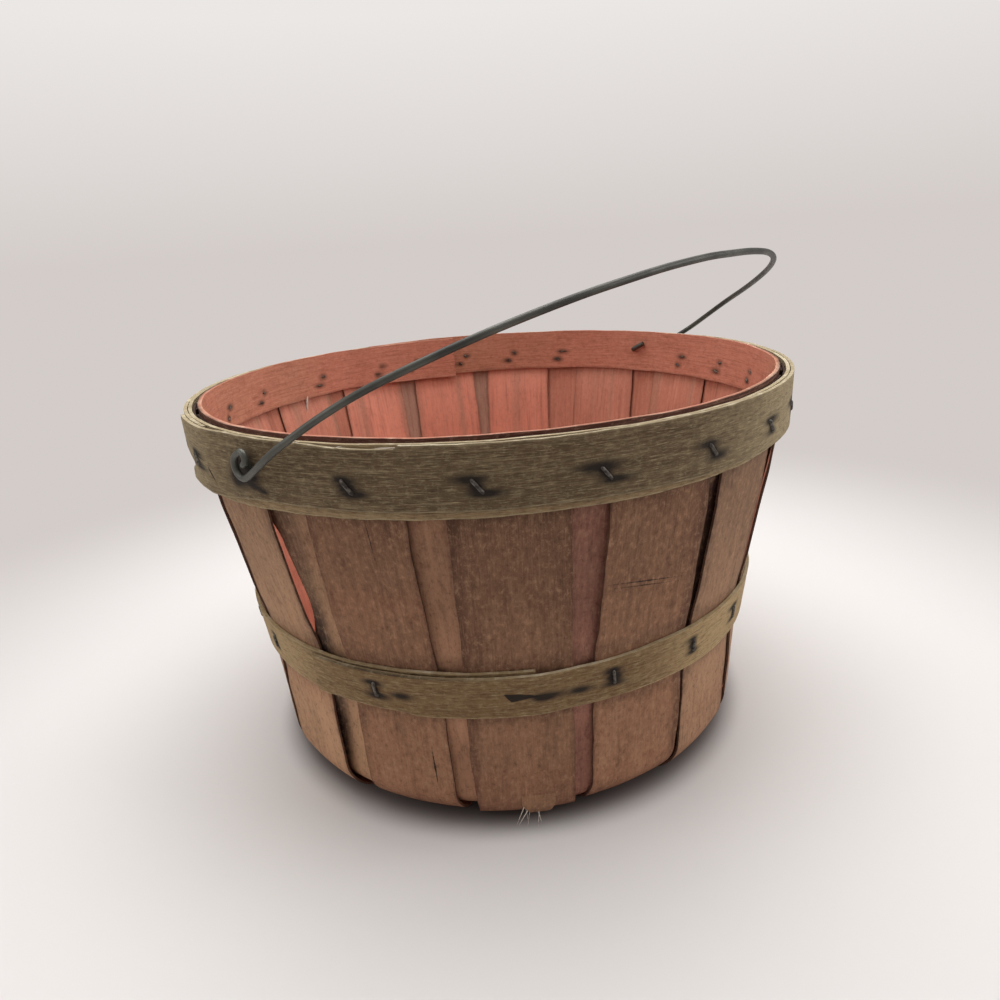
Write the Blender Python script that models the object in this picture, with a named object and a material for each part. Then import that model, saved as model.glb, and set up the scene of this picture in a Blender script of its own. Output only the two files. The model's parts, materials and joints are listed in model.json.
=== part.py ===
"""Apple basket: a web of thin wood splints, bent up into a wall, held by hoops and carried by a wire bail.

Sixteen splints cross at the middle of the base. Eight make the outer layer of the wall and eight the
inner one, so each splint gives two staves. The staves flare up to the top hoop, where two plies outside
and a band inside grip them upright. A third hoop goes round the middle, and wire staples fix the hoops.
The bail is one wire whose ends are curled, passed through the rim and bent over inside.
"""
import math

import bmesh
import bpy
import numpy as np
from mathutils import Matrix, Vector

for leftover in list(bpy.data.objects):
    bpy.data.objects.remove(leftover, do_unlink=True)

# Overall form
BASKET_HEIGHT = 0.1785
RIM_RADIUS = 0.144
FOOT_RADIUS = 0.1213
HEEL_RADIUS = 0.018
FLARE_POWER = 1.5

# Clearance left between pieces that touch
GAP = 0.0003

# Splints
SPLINT_WIDTH = 0.041
SPLINT_THICKNESS = 0.0009
STAVE_TOP_BELOW_RIM = 0.0025
OUTER_AZIMUTHS = (-138.0, -111.9, -88.0, -65.2, -43.6, -21.7, -0.5, 20.7)
INNER_AZIMUTHS = (10.3, 32.5, 56.2, 81.6, 102.8, 124.3, 146.0, 168.0)
LAYING_ORDER = (0, 4, 2, 6, 1, 5, 3, 7)
# One stave has sprung sideways and leaves a slit: its splint, its end and the angle in degrees
SPRUNG_SPLINT = 2
SPRUNG_END = -1
SPRUNG_ANGLE = 5.0
SPRUNG_RUN = 0.080

# Top hoop, two plies outside the staves
HOOP_THICKNESS = 0.0015
OUTER_PLY_HEIGHT = 0.0235
OUTER_PLY_BELOW_RIM = 0.001
UNDER_PLY_HEIGHT = 0.0226
UNDER_PLY_BELOW_RIM = 0.0009
UNDER_PLY_EXTRA = 0.0045
UNDER_PLY_WIDEST = -115.0
HOOP_TAPER = 0.0005
OUTER_PLY_END = -152.0
UNDER_PLY_END = 25.0
HOOP_LAP = 10.0

# Inner band at the rim
BAND_THICKNESS = 0.0017
BAND_HEIGHT = 0.024
BAND_END = 99.5
BAND_LAP = 24.0

# Middle hoop
MIDDLE_HOOP_TOP = 0.0818
MIDDLE_HOOP_HEIGHT = 0.0205
MIDDLE_HOOP_END = -128.8
MIDDLE_HOOP_LAP = 43.3

# Lap ramp and facets of the hoops, in degrees
LAP_RAMP = 8.0
HOOP_STEP = 5.0

# Staples
STAPLE_WIRE = 0.0011
STAPLE_CROWN = 0.0066
STAPLE_SLANT = 52.0
STAPLE_LEG = 0.0013
STAPLE_LEG_CLEARANCE = 0.0003
TOP_STAPLE_DEPTH = 0.0158
TOP_STAPLES_FRONT = (-110.8, -92.5, -74.9, -56.7, -40.1, -25.0, -10.5)
TOP_STAPLES_BACK = (4.0, 18.0, 32.0, 69.0, 83.0, 97.0, 111.5, 122.0, 139.6, 160.7, 176.5, 191.5, 203.0, 214.0)
MIDDLE_STAPLES_SEEN = (-162.0, -146.0, -114.8, -71.0, -51.9, -35.6, -11.0)
MIDDLE_STAPLE_COUNT = 16
MIDDLE_STAPLES_LAST = 177.0
MIDDLE_STAPLE_SLANT = 84.0

# Bail
WIRE_RADIUS = 0.0015
EAR_AZIMUTHS = (-128.5, 47.0)
EAR_DEPTH = 0.011
EAR_HOLE_CLEARANCE = 0.00035
EAR_HOLE_SIDES = 10
EYE_RADIUS = 0.0046
EYE_STANDOFF = 0.0018
BAIL_HEIGHT = 0.131
BAIL_NEAR_SPAN = 0.151
BAIL_FAR_SPAN = 0.159
BAIL_NEAR_POWER = 2.0
BAIL_FAR_POWER = 2.4
BAIL_DRAW_IN = 0.024
BAIL_OFFSET_END = 0.042
BAIL_STEPS = 17
BAIL_LEAN = 62.5
CLINCH_LENGTH = 0.0065
CLINCH_BEND = 0.0023
CLINCH_CLEARANCE = 0.001


# Derived sizes
OUTER_PLIES = 2
GRIP_HEIGHT = BASKET_HEIGHT - BAND_HEIGHT
GRIP_SLOPE = HOOP_TAPER / OUTER_PLY_HEIGHT
HOOP_TOP = BASKET_HEIGHT - OUTER_PLY_BELOW_RIM
GRIP_RADIUS = RIM_RADIUS - OUTER_PLIES * (HOOP_THICKNESS + GAP) - GRIP_SLOPE * (HOOP_TOP - GRIP_HEIGHT)
FLARE = GRIP_RADIUS - FOOT_RADIUS
FLARE_HEIGHT = GRIP_HEIGHT - HEEL_RADIUS
BASE_RADIUS = FOOT_RADIUS - HEEL_RADIUS
LAYER = SPLINT_THICKNESS + GAP


def smooth(t):
    """Rises from 0 to 1 with level ends."""
    t = min(1.0, max(0.0, t))
    return t * t * (3.0 - 2.0 * t)


def wall_radius(z):
    """Outside radius of the outer staves: straight up at the heel, flared to the hoop, upright inside it."""
    if z >= GRIP_HEIGHT:
        return GRIP_RADIUS + GRIP_SLOPE * (z - GRIP_HEIGHT)
    return FOOT_RADIUS + FLARE * max(0.0, (z - HEEL_RADIUS) / FLARE_HEIGHT) ** FLARE_POWER


def wall_slope(z):
    """Outward run of the wall for each unit of height."""
    if z > GRIP_HEIGHT - GAP:
        return GRIP_SLOPE
    t = max(0.0, (z - HEEL_RADIUS) / FLARE_HEIGHT)
    return FLARE_POWER * FLARE * t ** (FLARE_POWER - 1.0) / FLARE_HEIGHT


HEEL_END = BASE_RADIUS + HEEL_RADIUS * math.pi / 2.0


def meridian(s):
    """Radius, height and inward normal of the outermost surface, at a distance s from the middle."""
    if s <= BASE_RADIUS:
        return s, 0.0, (0.0, 1.0)
    if s <= HEEL_END:
        a = (s - BASE_RADIUS) / HEEL_RADIUS
        r = BASE_RADIUS + HEEL_RADIUS * math.sin(a)
        z = HEEL_RADIUS * (1.0 - math.cos(a))
        return r, z, (-math.sin(a), math.cos(a))
    z = HEEL_RADIUS + (s - HEEL_END)
    slope = wall_slope(z)
    length = math.hypot(1.0, slope)
    return wall_radius(z), z, (-1.0 / length, slope / length)


STAVE_TOP = HEEL_END + (BASKET_HEIGHT - STAVE_TOP_BELOW_RIM - HEEL_RADIUS)

# Rows of points along a splint are arcs about the middle of the base, in half widths of a splint
BASE_ROWS = (1.1, 1.5, 2.05, 2.75, 3.5, 4.3)
HEEL_ROWS = 5
SPLINT_COLUMNS = 4
STEEPEST_FALL = 0.26
MERGE_LENGTH = 0.016
SPLINTS = len(OUTER_AZIMUTHS)


def base_rows():
    """Distances from the middle of the rows in the base."""
    return [0.5 * SPLINT_WIDTH * k for k in BASE_ROWS] + [BASE_RADIUS]


def wall_rows():
    """Distances along the surface of the rows in the heel and the wall."""
    heel = [BASE_RADIUS + (HEEL_END - BASE_RADIUS) * i / HEEL_ROWS for i in range(1, HEEL_ROWS + 1)]
    between = 0.5 * (MIDDLE_HOOP_TOP + GRIP_HEIGHT)
    seats = (MIDDLE_HOOP_TOP - MIDDLE_HOOP_HEIGHT, MIDDLE_HOOP_TOP, between, GRIP_HEIGHT)
    return heel + [HEEL_END + z - HEEL_RADIUS for z in seats] + [STAVE_TOP]


def half_angle(radius, width):
    """Half of the angle that a strip of this width takes at a radius."""
    return math.asin(min(1.0, 0.5 * width / radius))


def end_azimuth(layer, index, side, s):
    """Direction of one end of a splint, with the sideways lean of the sprung one."""
    lean = 0.0
    if layer == 1 and index == SPRUNG_SPLINT and side == SPRUNG_END:
        lean = SPRUNG_ANGLE * smooth((s - BASE_RADIUS) / SPRUNG_RUN)
    return (OUTER_AZIMUTHS, INNER_AZIMUTHS)[layer][index] + (180.0 if side < 0 else 0.0) + lean


def crossing_angle(first, second):
    """Angle between two splints that pass through the middle."""
    apart = abs(first - second) % 180.0
    return math.radians(min(apart, 180.0 - apart))


def laid_heights():
    """Height of each splint at each base row: it lies on all those laid before it that it crosses there."""
    rows = base_rows()
    order = [(layer, index) for layer in (0, 1) for index in LAYING_ORDER]
    heights = {}
    for i, radius in enumerate(rows):
        widest = 2.0 * half_angle(rows[max(0, i - 1)], SPLINT_WIDTH + 2.0 * GAP)
        for k, splint in enumerate(order):
            azimuth = end_azimuth(*splint, 1, 0.0)
            under = [heights[other][i] + LAYER for other in order[:k]
                     if i == 0 or crossing_angle(azimuth, end_azimuth(*other, 1, 0.0)) < widest]
            height = max(under, default=0.0)
            if i > 0:
                height = max(height, heights[splint][i - 1] - STEEPEST_FALL * (radius - rows[i - 1]))
            heights.setdefault(splint, []).append(height)
    return heights


def overlap_end():
    """Distance along the surface past which neighbours of one layer lie clear of each other."""
    last = BASE_RADIUS
    for s in np.arange(BASE_RADIUS, STAVE_TOP, 0.001):
        across = 2.0 * math.degrees(half_angle(meridian(s)[0] - 4.0 * LAYER, SPLINT_WIDTH + 2.0 * GAP))
        for layer in (0, 1):
            ends = sorted(end_azimuth(layer, i, side, s) % 360.0 for i in range(SPLINTS) for side in (1, -1))
            ends.append(ends[0] + 360.0)
            if min(b - a for a, b in zip(ends, ends[1:])) < across:
                last = s
    return last


HEIGHTS = laid_heights()
MERGE_START = overlap_end()


def splint_depth(layer, index, s):
    """How far a splint's outer face lies inside the outermost surface, in the heel and the wall."""
    extra = HEIGHTS[(layer, index)][-1] - layer * LAYER
    return layer * LAYER + extra * (1.0 - smooth((s - MERGE_START) / MERGE_LENGTH))


WALL_DEPTH = LAYER + SPLINT_THICKNESS


# Scene, collections and materials

basket = bpy.data.collections.new("apple_basket")
cutters = bpy.data.collections.new("cutters")
bpy.context.scene.collection.children.link(basket)
bpy.context.scene.collection.children.link(cutters)


def material(name, colour, roughness, metallic=0.0):
    """Plain material of one colour, given as linear red, green and blue."""
    made = bpy.data.materials.new(name)
    made.use_nodes = True
    shader = made.node_tree.nodes["Principled BSDF"]
    shader.inputs["Base Color"].default_value = (*colour, 1.0)
    shader.inputs["Roughness"].default_value = roughness
    shader.inputs["Metallic"].default_value = metallic
    return made


STAVE_WOOD = material("stained_splint_wood", (0.23, 0.105, 0.065), 0.75)
LINING_WOOD = material("dyed_splint_wood", (0.42, 0.13, 0.09), 0.7)
HOOP_WOOD = material("weathered_hoop_wood", (0.20, 0.145, 0.08), 0.8)
BAND_WOOD = material("dyed_band_wood", (0.40, 0.14, 0.10), 0.7)
STAPLE_IRON = material("rusted_staple_iron", (0.03, 0.024, 0.02), 0.6, 0.8)
BAIL_STEEL = material("dull_bail_steel", (0.075, 0.07, 0.06), 0.45, 0.9)


def new_object(name, mesh, coat, collection=basket):
    """Puts a mesh in the basket under the name of its piece."""
    made = bpy.data.objects.new(name, mesh)
    made.data.materials.append(coat)
    collection.objects.link(made)
    return made


def mesh_from(name, bm):
    """Turns a bmesh into a mesh with its faces pointing out and its round sides smooth."""
    bmesh.ops.recalc_face_normals(bm, faces=bm.faces)
    mesh = bpy.data.meshes.new(name)
    bm.to_mesh(mesh)
    bm.free()
    mesh.shade_smooth()
    mesh.set_sharp_from_angle(angle=math.radians(35.0))
    return mesh


def strip_mesh(name, outer_rows, inner_rows):
    """Closed thin strip between two lofted faces, given as rows of points."""
    bm = bmesh.new()
    outer = [[bm.verts.new(p) for p in row] for row in outer_rows]
    inner = [[bm.verts.new(p) for p in row] for row in inner_rows]
    for rows, flip in ((outer, False), (inner, True)):
        for a, b in zip(rows, rows[1:]):
            quads = [(a[j], a[j + 1], b[j + 1], b[j]) for j in range(len(a) - 1)]
            for quad in quads:
                bm.faces.new(reversed(quad) if flip else quad)
    for k in range(len(outer) - 1):
        for column in (0, -1):
            bm.faces.new((outer[k][column], outer[k + 1][column], inner[k + 1][column], inner[k][column]))
    for k in (0, -1):
        bm.faces.new(tuple(outer[k]) + tuple(reversed(inner[k])))
    return mesh_from(name, bm)


# Splints

def splint_row(layer, index, side, s, radius, z):
    """Points across a splint at a radius and height, on one side of the middle."""
    turn = math.radians(end_azimuth(layer, index, side, s))
    row = []
    for j in range(SPLINT_COLUMNS):
        angle = turn + side * math.asin(SPLINT_WIDTH * (j / (SPLINT_COLUMNS - 1) - 0.5) / radius)
        row.append((radius * math.cos(angle), radius * math.sin(angle), z))
    return row


def splint_side(layer, index, side):
    """Outer and inner rows of one half of a splint, from the middle to the rim."""
    outer = []
    inner = []
    for radius, height in zip(base_rows(), HEIGHTS[(layer, index)]):
        outer.append(splint_row(layer, index, side, radius, radius, height))
        inner.append(splint_row(layer, index, side, radius, radius, height + SPLINT_THICKNESS))
    for s in wall_rows():
        radius, z, (nr, nz) = meridian(s)
        depth = splint_depth(layer, index, s)
        for rows, d in ((outer, depth), (inner, depth + SPLINT_THICKNESS)):
            rows.append(splint_row(layer, index, side, s, radius + nr * d, z + nz * d))
    return outer, inner


def splint(layer, index):
    """One splint from rim to rim through the middle of the base."""
    near_outer, near_inner = splint_side(layer, index, -1)
    far_outer, far_inner = splint_side(layer, index, 1)
    name = ("outer_splint_%d", "inner_splint_%d")[layer] % (index + 1)
    mesh = strip_mesh(name, near_outer[::-1] + far_outer, near_inner[::-1] + far_inner)
    return new_object(name, mesh, (STAVE_WOOD, LINING_WOOD)[layer])


splints = {(layer, index): splint(layer, index) for layer in (0, 1) for index in range(SPLINTS)}


# Hoops

def lap_shift(along, lap, step, lap_outside):
    """How far a hoop is moved off its seat at an angle along it, to pass over or under its own other end."""
    if lap <= 0.0:
        return 0.0
    if lap_outside:
        return step * smooth((along - (360.0 - LAP_RAMP)) / LAP_RAMP)
    return -step * (1.0 - smooth((along - lap) / LAP_RAMP))


def band(name, coat, start, lap, direction, heights, face_radius, thickness, lap_outside):
    """Strip bent once round from an azimuth, with its ends lapped; face_radius gives its outside radius."""
    length = 360.0 + lap
    count = math.ceil(length / HOOP_STEP)
    outer_rows = []
    inner_rows = []
    for i in range(count + 1):
        along = length * i / count
        shift = lap_shift(along, lap, thickness + GAP, lap_outside)
        azimuth = start + direction * along
        angle = math.radians(azimuth)
        for rows, depth in ((outer_rows, 0.0), (inner_rows, thickness)):
            radii = [(face_radius(z) + shift - depth, z) for z in heights(azimuth)]
            rows.append([(r * math.cos(angle), r * math.sin(angle), z) for r, z in radii])
    return new_object(name, strip_mesh(name, outer_rows, inner_rows), coat)


def outer_ply_radius(z):
    """Outside radius of the top hoop's outer ply."""
    return RIM_RADIUS - GRIP_SLOPE * (HOOP_TOP - z)


def under_ply_radius(z):
    """Outside radius of the top hoop's under ply."""
    return outer_ply_radius(z) - HOOP_THICKNESS - GAP


def under_ply_heights(azimuth):
    """The under ply is wider on one side, where it shows below the outer one."""
    extra = 0.5 * UNDER_PLY_EXTRA * (1.0 + math.cos(math.radians(azimuth - UNDER_PLY_WIDEST)))
    top = BASKET_HEIGHT - UNDER_PLY_BELOW_RIM
    return top - UNDER_PLY_HEIGHT - extra, top


def band_radius(z):
    """Outside radius of the inner band, on the inside of the staves."""
    return wall_radius(z) - (WALL_DEPTH + GAP) * math.hypot(1.0, wall_slope(z))


def middle_hoop_radius(z):
    """Outside radius of the middle hoop on the staves."""
    return wall_radius(z) + HOOP_THICKNESS + GAP


def top_heights(azimuth):
    """Bottom and top of the outer ply."""
    return HOOP_TOP - OUTER_PLY_HEIGHT, HOOP_TOP


def band_heights(azimuth):
    """Bottom and top of the inner band."""
    return GRIP_HEIGHT, BASKET_HEIGHT


def middle_heights(azimuth):
    """Bottom and top of the middle hoop."""
    return MIDDLE_HOOP_TOP - MIDDLE_HOOP_HEIGHT, MIDDLE_HOOP_TOP


outer_ply_start = OUTER_PLY_END + HOOP_LAP
middle_hoop_start = MIDDLE_HOOP_END + MIDDLE_HOOP_LAP
butt_joint = -math.degrees(GAP / RIM_RADIUS)

outer_ply = band("top_hoop_outer_ply", HOOP_WOOD, outer_ply_start, HOOP_LAP, -1.0,
                 top_heights, outer_ply_radius, HOOP_THICKNESS, True)
under_ply = band("top_hoop_under_ply", HOOP_WOOD, UNDER_PLY_END, butt_joint, 1.0,
                 under_ply_heights, under_ply_radius, HOOP_THICKNESS, True)
inner_band = band("top_inner_band", BAND_WOOD, BAND_END, BAND_LAP, 1.0,
                  band_heights, band_radius, BAND_THICKNESS, False)
middle_hoop = band("middle_hoop", HOOP_WOOD, middle_hoop_start, MIDDLE_HOOP_LAP, -1.0,
                   middle_heights, middle_hoop_radius, HOOP_THICKNESS, True)


# Holes

def cut(target, cutter):
    """Takes a cutter's shape out of a piece and makes it the piece's own mesh."""
    modifier = target.modifiers.new("cut", "BOOLEAN")
    modifier.operation = "DIFFERENCE"
    modifier.solver = "EXACT"
    modifier.object = cutter
    bpy.context.view_layer.update()
    graph = bpy.context.evaluated_depsgraph_get()
    mesh = bpy.data.meshes.new_from_object(target.evaluated_get(graph))
    target.modifiers.remove(modifier)
    target.data = mesh


def new_cutter(name, mesh):
    """Keeps a cutter apart from the pieces."""
    made = bpy.data.objects.new(name, mesh)
    cutters.objects.link(made)
    made.hide_render = True
    made.display_type = "WIRE"
    return made


def polar(radius, azimuth, z):
    """Point at a radius, an azimuth in degrees and a height."""
    angle = math.radians(azimuth)
    return Vector((radius * math.cos(angle), radius * math.sin(angle), z))


# Bail: its frame has X along the hinge axis and Z up the plane of its arch

EAR_RADIUS = RIM_RADIUS + EYE_STANDOFF + WIRE_RADIUS
EAR_HEIGHT = BASKET_HEIGHT - EAR_DEPTH
CLINCH_X = band_radius(EAR_HEIGHT) - BAND_THICKNESS - CLINCH_CLEARANCE - WIRE_RADIUS
NEAR_EAR, FAR_EAR = (polar(EAR_RADIUS, azimuth, EAR_HEIGHT) for azimuth in EAR_AZIMUTHS)
EAR_X = 0.5 * (FAR_EAR - NEAR_EAR).length
AXIS = (FAR_EAR - NEAR_EAR).normalized()
UP = Vector((0.0, 0.0, 1.0))
BAIL_UP = UP * math.cos(math.radians(BAIL_LEAN)) + AXIS.cross(UP) * math.sin(math.radians(BAIL_LEAN))
BAIL_FRAME = Matrix((AXIS, BAIL_UP.cross(AXIS), BAIL_UP)).transposed().to_4x4()
BAIL_FRAME.translation = 0.5 * (NEAR_EAR + FAR_EAR)
X, Y, Z = Vector((1.0, 0.0, 0.0)), Vector((0.0, 1.0, 0.0)), Vector((0.0, 0.0, 1.0))


def arc(centre, first, second, start, end, steps):
    """Points of an arc about a centre, with its two radii given as vectors."""
    angles = [math.radians(start + (end - start) * i / steps) for i in range(steps + 1)]
    return [centre + first * math.cos(a) + second * math.sin(a) for a in angles]


def eye_points(side):
    """Centre line of one end of the wire from the shaft on: the eye, the run through the rim, the clinch."""
    out = X * side
    eye = out * EAR_X
    bend = 0.5 * EYE_RADIUS
    ring = arc(eye, Y * EYE_RADIUS, Z * EYE_RADIUS, 180.0, 360.0, 8)
    over = arc(eye + (Y + Z) * bend, Y * bend, Z * bend, 0.0, 180.0, 6)
    inward = arc(eye + (Z - out) * bend, out * bend, Z * bend, 0.0, -90.0, 4)
    clinch = arc(out * (CLINCH_X + CLINCH_BEND) + Z * CLINCH_BEND, out * CLINCH_BEND, Z * CLINCH_BEND,
                 -90.0, -180.0, 4)
    return ring + over + inward[1:] + clinch + [clinch[-1] + Z * CLINCH_LENGTH]


def shaft_points(side):
    """Centre line of one half of the arch, from its crown down to its eye."""
    span, power = ((BAIL_NEAR_SPAN, BAIL_NEAR_POWER), (BAIL_FAR_SPAN, BAIL_FAR_POWER))[side > 0]
    points = []
    for i in range(BAIL_STEPS + 1):
        a = 0.49 * math.pi * i / BAIL_STEPS
        x = span * math.sin(a) ** (2.0 / power)
        z = BAIL_HEIGHT * math.cos(a) ** (2.0 / power)
        x = EAR_X + (x - EAR_X) * smooth(z / BAIL_DRAW_IN)
        points.append(Vector((side * x, -EYE_RADIUS * (1.0 - smooth(z / BAIL_OFFSET_END)), z)))
    return points


def wire(name, points, radius, coat):
    """Round wire along a line of points, closed at its ends."""
    curve = bpy.data.curves.new(name, "CURVE")
    curve.dimensions = "3D"
    curve.bevel_depth = radius
    curve.bevel_resolution = 2
    curve.use_fill_caps = True
    spline = curve.splines.new("POLY")
    spline.points.add(len(points) - 1)
    for point, place in zip(spline.points, points):
        point.co = (*place, 1.0)
    return new_object(name, curve, coat)


near_end = shaft_points(-1) + eye_points(-1)
far_end = shaft_points(1) + eye_points(1)
bail = wire("bail", near_end[:0:-1] + far_end, WIRE_RADIUS, BAIL_STEEL)
bail.matrix_world = BAIL_FRAME


def ear_cutter():
    """Round holes on the hinge axis through both sides of the rim."""
    bm = bmesh.new()
    inner = CLINCH_X - WIRE_RADIUS
    for side in (-1, 1):
        middle = Matrix.Translation(X * side * 0.5 * (inner + EAR_X))
        turn = Matrix.Rotation(0.5 * math.pi, 4, "Y")
        radius = WIRE_RADIUS + EAR_HOLE_CLEARANCE
        bmesh.ops.create_cone(bm, cap_ends=True, segments=EAR_HOLE_SIDES, radius1=radius, radius2=radius,
                              depth=EAR_X - inner + 2.0 * WIRE_RADIUS, matrix=BAIL_FRAME @ middle @ turn)
    return new_cutter("ear_holes", mesh_from("ear_holes", bm))


ear_holes = ear_cutter()
for piece in (outer_ply, under_ply, inner_band, splints[(0, 0)]):
    cut(piece, ear_holes)


# Staples

def even_staples(seen, count, last):
    """Azimuths of a hoop's staples: those seen, then the rest evenly as far as the last."""
    rest = count - len(seen)
    return list(seen) + [seen[-1] + (last - seen[-1]) * (i + 1) / rest for i in range(rest)]


def prism(bm, outline, along):
    """Closed prism of an outline, moved by a vector."""
    low = [bm.verts.new(p) for p in outline]
    high = [bm.verts.new(p + along) for p in outline]
    bm.faces.new(reversed(low))
    bm.faces.new(high)
    for i in range(len(low)):
        j = (i + 1) % len(low)
        bm.faces.new((low[i], low[j], high[j], high[i]))


def staple_frame(azimuth, z, radius, flare, slant):
    """Place on a hoop's face, direction of the crown and outward normal of a staple."""
    a = math.radians(azimuth)
    normal = Vector((math.cos(a), math.sin(a), -flare)).normalized()
    tangent = Vector((-math.sin(a), math.cos(a), 0.0))
    lean = math.radians(slant)
    crown = tangent * math.cos(lean) - normal.cross(tangent) * math.sin(lean)
    return polar(radius, azimuth, z), crown, normal


def staple_shapes(staple, holes, place, crown, normal):
    """Makes one staple and adds the holes of its legs to the cutter."""
    across = normal.cross(crown)
    reach = 0.5 * STAPLE_CROWN
    inside = reach - STAPLE_WIRE
    top = GAP + STAPLE_WIRE
    profile = ((-reach, -STAPLE_LEG), (-inside, -STAPLE_LEG), (-inside, GAP), (inside, GAP),
               (inside, -STAPLE_LEG), (reach, -STAPLE_LEG), (reach, top), (-reach, top))
    edge = place - across * 0.5 * STAPLE_WIRE
    prism(staple, [edge + crown * u + normal * v for u, v in profile], across * STAPLE_WIRE)
    half = 0.5 * STAPLE_WIRE + STAPLE_LEG_CLEARANCE
    bottom = HOOP_THICKNESS + 0.9 * GAP
    for side in (-1, 1):
        leg = place + crown * side * (reach - 0.5 * STAPLE_WIRE) - across * half
        corners = ((-half, -bottom), (half, -bottom), (half, top), (-half, top))
        prism(holes, [leg + crown * u + normal * v for u, v in corners], across * 2.0 * half)


def staples_on(name, hoop, azimuths, z, radius, flare, slant, start, lap):
    """Staples round a hoop, with the holes that their legs pass through."""
    holes = bmesh.new()
    for number, azimuth in enumerate(azimuths, 1):
        along = (start - azimuth) % 360.0
        along += 360.0 if along < lap else 0.0
        shift = lap_shift(along, lap, HOOP_THICKNESS + GAP, True)
        staple = bmesh.new()
        staple_shapes(staple, holes, *staple_frame(azimuth, z, radius + shift, flare, slant))
        piece = "%s_%02d" % (name, number)
        new_object(piece, mesh_from(piece, staple), STAPLE_IRON)
    cut(hoop, new_cutter(name + "_holes", mesh_from(name + "_holes", holes)))


top_z = BASKET_HEIGHT - TOP_STAPLE_DEPTH
middle_z = MIDDLE_HOOP_TOP - 0.5 * MIDDLE_HOOP_HEIGHT
staples_on("top_hoop_staple", outer_ply, TOP_STAPLES_FRONT + TOP_STAPLES_BACK,
           top_z, outer_ply_radius(top_z), GRIP_SLOPE, STAPLE_SLANT, outer_ply_start, HOOP_LAP)
staples_on("middle_hoop_staple", middle_hoop,
           even_staples(MIDDLE_STAPLES_SEEN, MIDDLE_STAPLE_COUNT, MIDDLE_STAPLES_LAST),
           middle_z, middle_hoop_radius(middle_z), wall_slope(middle_z), MIDDLE_STAPLE_SLANT,
           middle_hoop_start, MIDDLE_HOOP_LAP)
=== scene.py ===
import json
import math

import bpy
import numpy as np
from mathutils import Matrix, Vector


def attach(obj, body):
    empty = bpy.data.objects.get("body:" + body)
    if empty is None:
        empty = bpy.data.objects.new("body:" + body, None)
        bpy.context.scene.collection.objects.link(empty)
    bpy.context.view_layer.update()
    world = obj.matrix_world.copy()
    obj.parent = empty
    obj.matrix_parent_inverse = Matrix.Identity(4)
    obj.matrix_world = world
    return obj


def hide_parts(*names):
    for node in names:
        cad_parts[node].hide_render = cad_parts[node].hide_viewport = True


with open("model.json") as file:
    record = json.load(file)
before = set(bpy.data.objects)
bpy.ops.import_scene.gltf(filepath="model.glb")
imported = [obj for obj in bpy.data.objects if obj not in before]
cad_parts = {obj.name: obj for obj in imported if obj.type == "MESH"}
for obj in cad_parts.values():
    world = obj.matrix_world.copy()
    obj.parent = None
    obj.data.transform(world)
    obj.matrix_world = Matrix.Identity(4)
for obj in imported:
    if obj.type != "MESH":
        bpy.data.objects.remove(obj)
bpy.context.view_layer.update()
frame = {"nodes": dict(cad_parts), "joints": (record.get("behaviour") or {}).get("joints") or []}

# Splints
# Sixteen strips of sliced wood, 41 x 0.9 mm, cross in the base and stand up as the wall, eight outside and
# eight inside. They were dyed pink and have weathered brown outside. Between the hoops each stave lies
# flat, so its edges stand off the round of the wall.
MM = 0.001
GAP = 0.3 * MM
HEIGHT = 178.5 * MM
RIM_RADIUS = 144 * MM
FOOT_RADIUS = 121.3 * MM
HEEL_RADIUS = 18 * MM
BASE_RADIUS = FOOT_RADIUS - HEEL_RADIUS
HEEL_END = BASE_RADIUS + HEEL_RADIUS * math.pi / 2
GRIP_HEIGHT = 154.5 * MM
GRIP_RADIUS = 139.91 * MM
GRIP_SLOPE = 0.0213
FLARE_POWER = 1.5
SPLINT_WIDTH = 41 * MM
SPLINT_THICKNESS = 0.9 * MM
LAYER = SPLINT_THICKNESS + GAP
STAVE_TOP = HEIGHT - 2.5 * MM
# Azimuths in degrees of one end of each splint, outer and inner
AZIMUTHS = ((-138, -111.9, -88, -65.2, -43.6, -21.7, -0.5, 20.7),
            (10.3, 32.5, 56.2, 81.6, 102.8, 124.3, 146, 168))
# Where a splint comes down from the pile in the base to its own layer
MERGE_START = 119.3 * MM
MERGE_END = MERGE_START + 16 * MM
BASE_STEPS, HEEL_STEPS, WALL_STEPS, COLUMNS = 22, 14, 72, 21

# A stave's key is its layer (0 outer, 1 inner), its number and its end. One inner stave has sprung aside.
SPRUNG = (1, 2, -1)
SPRUNG_LEAN = 5
# Staves in front that are wider or narrower than most: which edge, and how far it is moved in mm
WIDER = {(0, 3, 1): (1, 3.4), (0, 2, 1): (0, -2)}
# Heights in mm between which staves lie flat: start, fully flat, end of that, round again
FLAT_SPANS = ((8, 22, 42, 60), (83, 100, 136, 155))
# Heights and half widths in mm of the dirt and painted shade beside the hoops
DIRT_AND_SHADE_LINES = ((59, 3.5), (84, 4), (152, 6))
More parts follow.
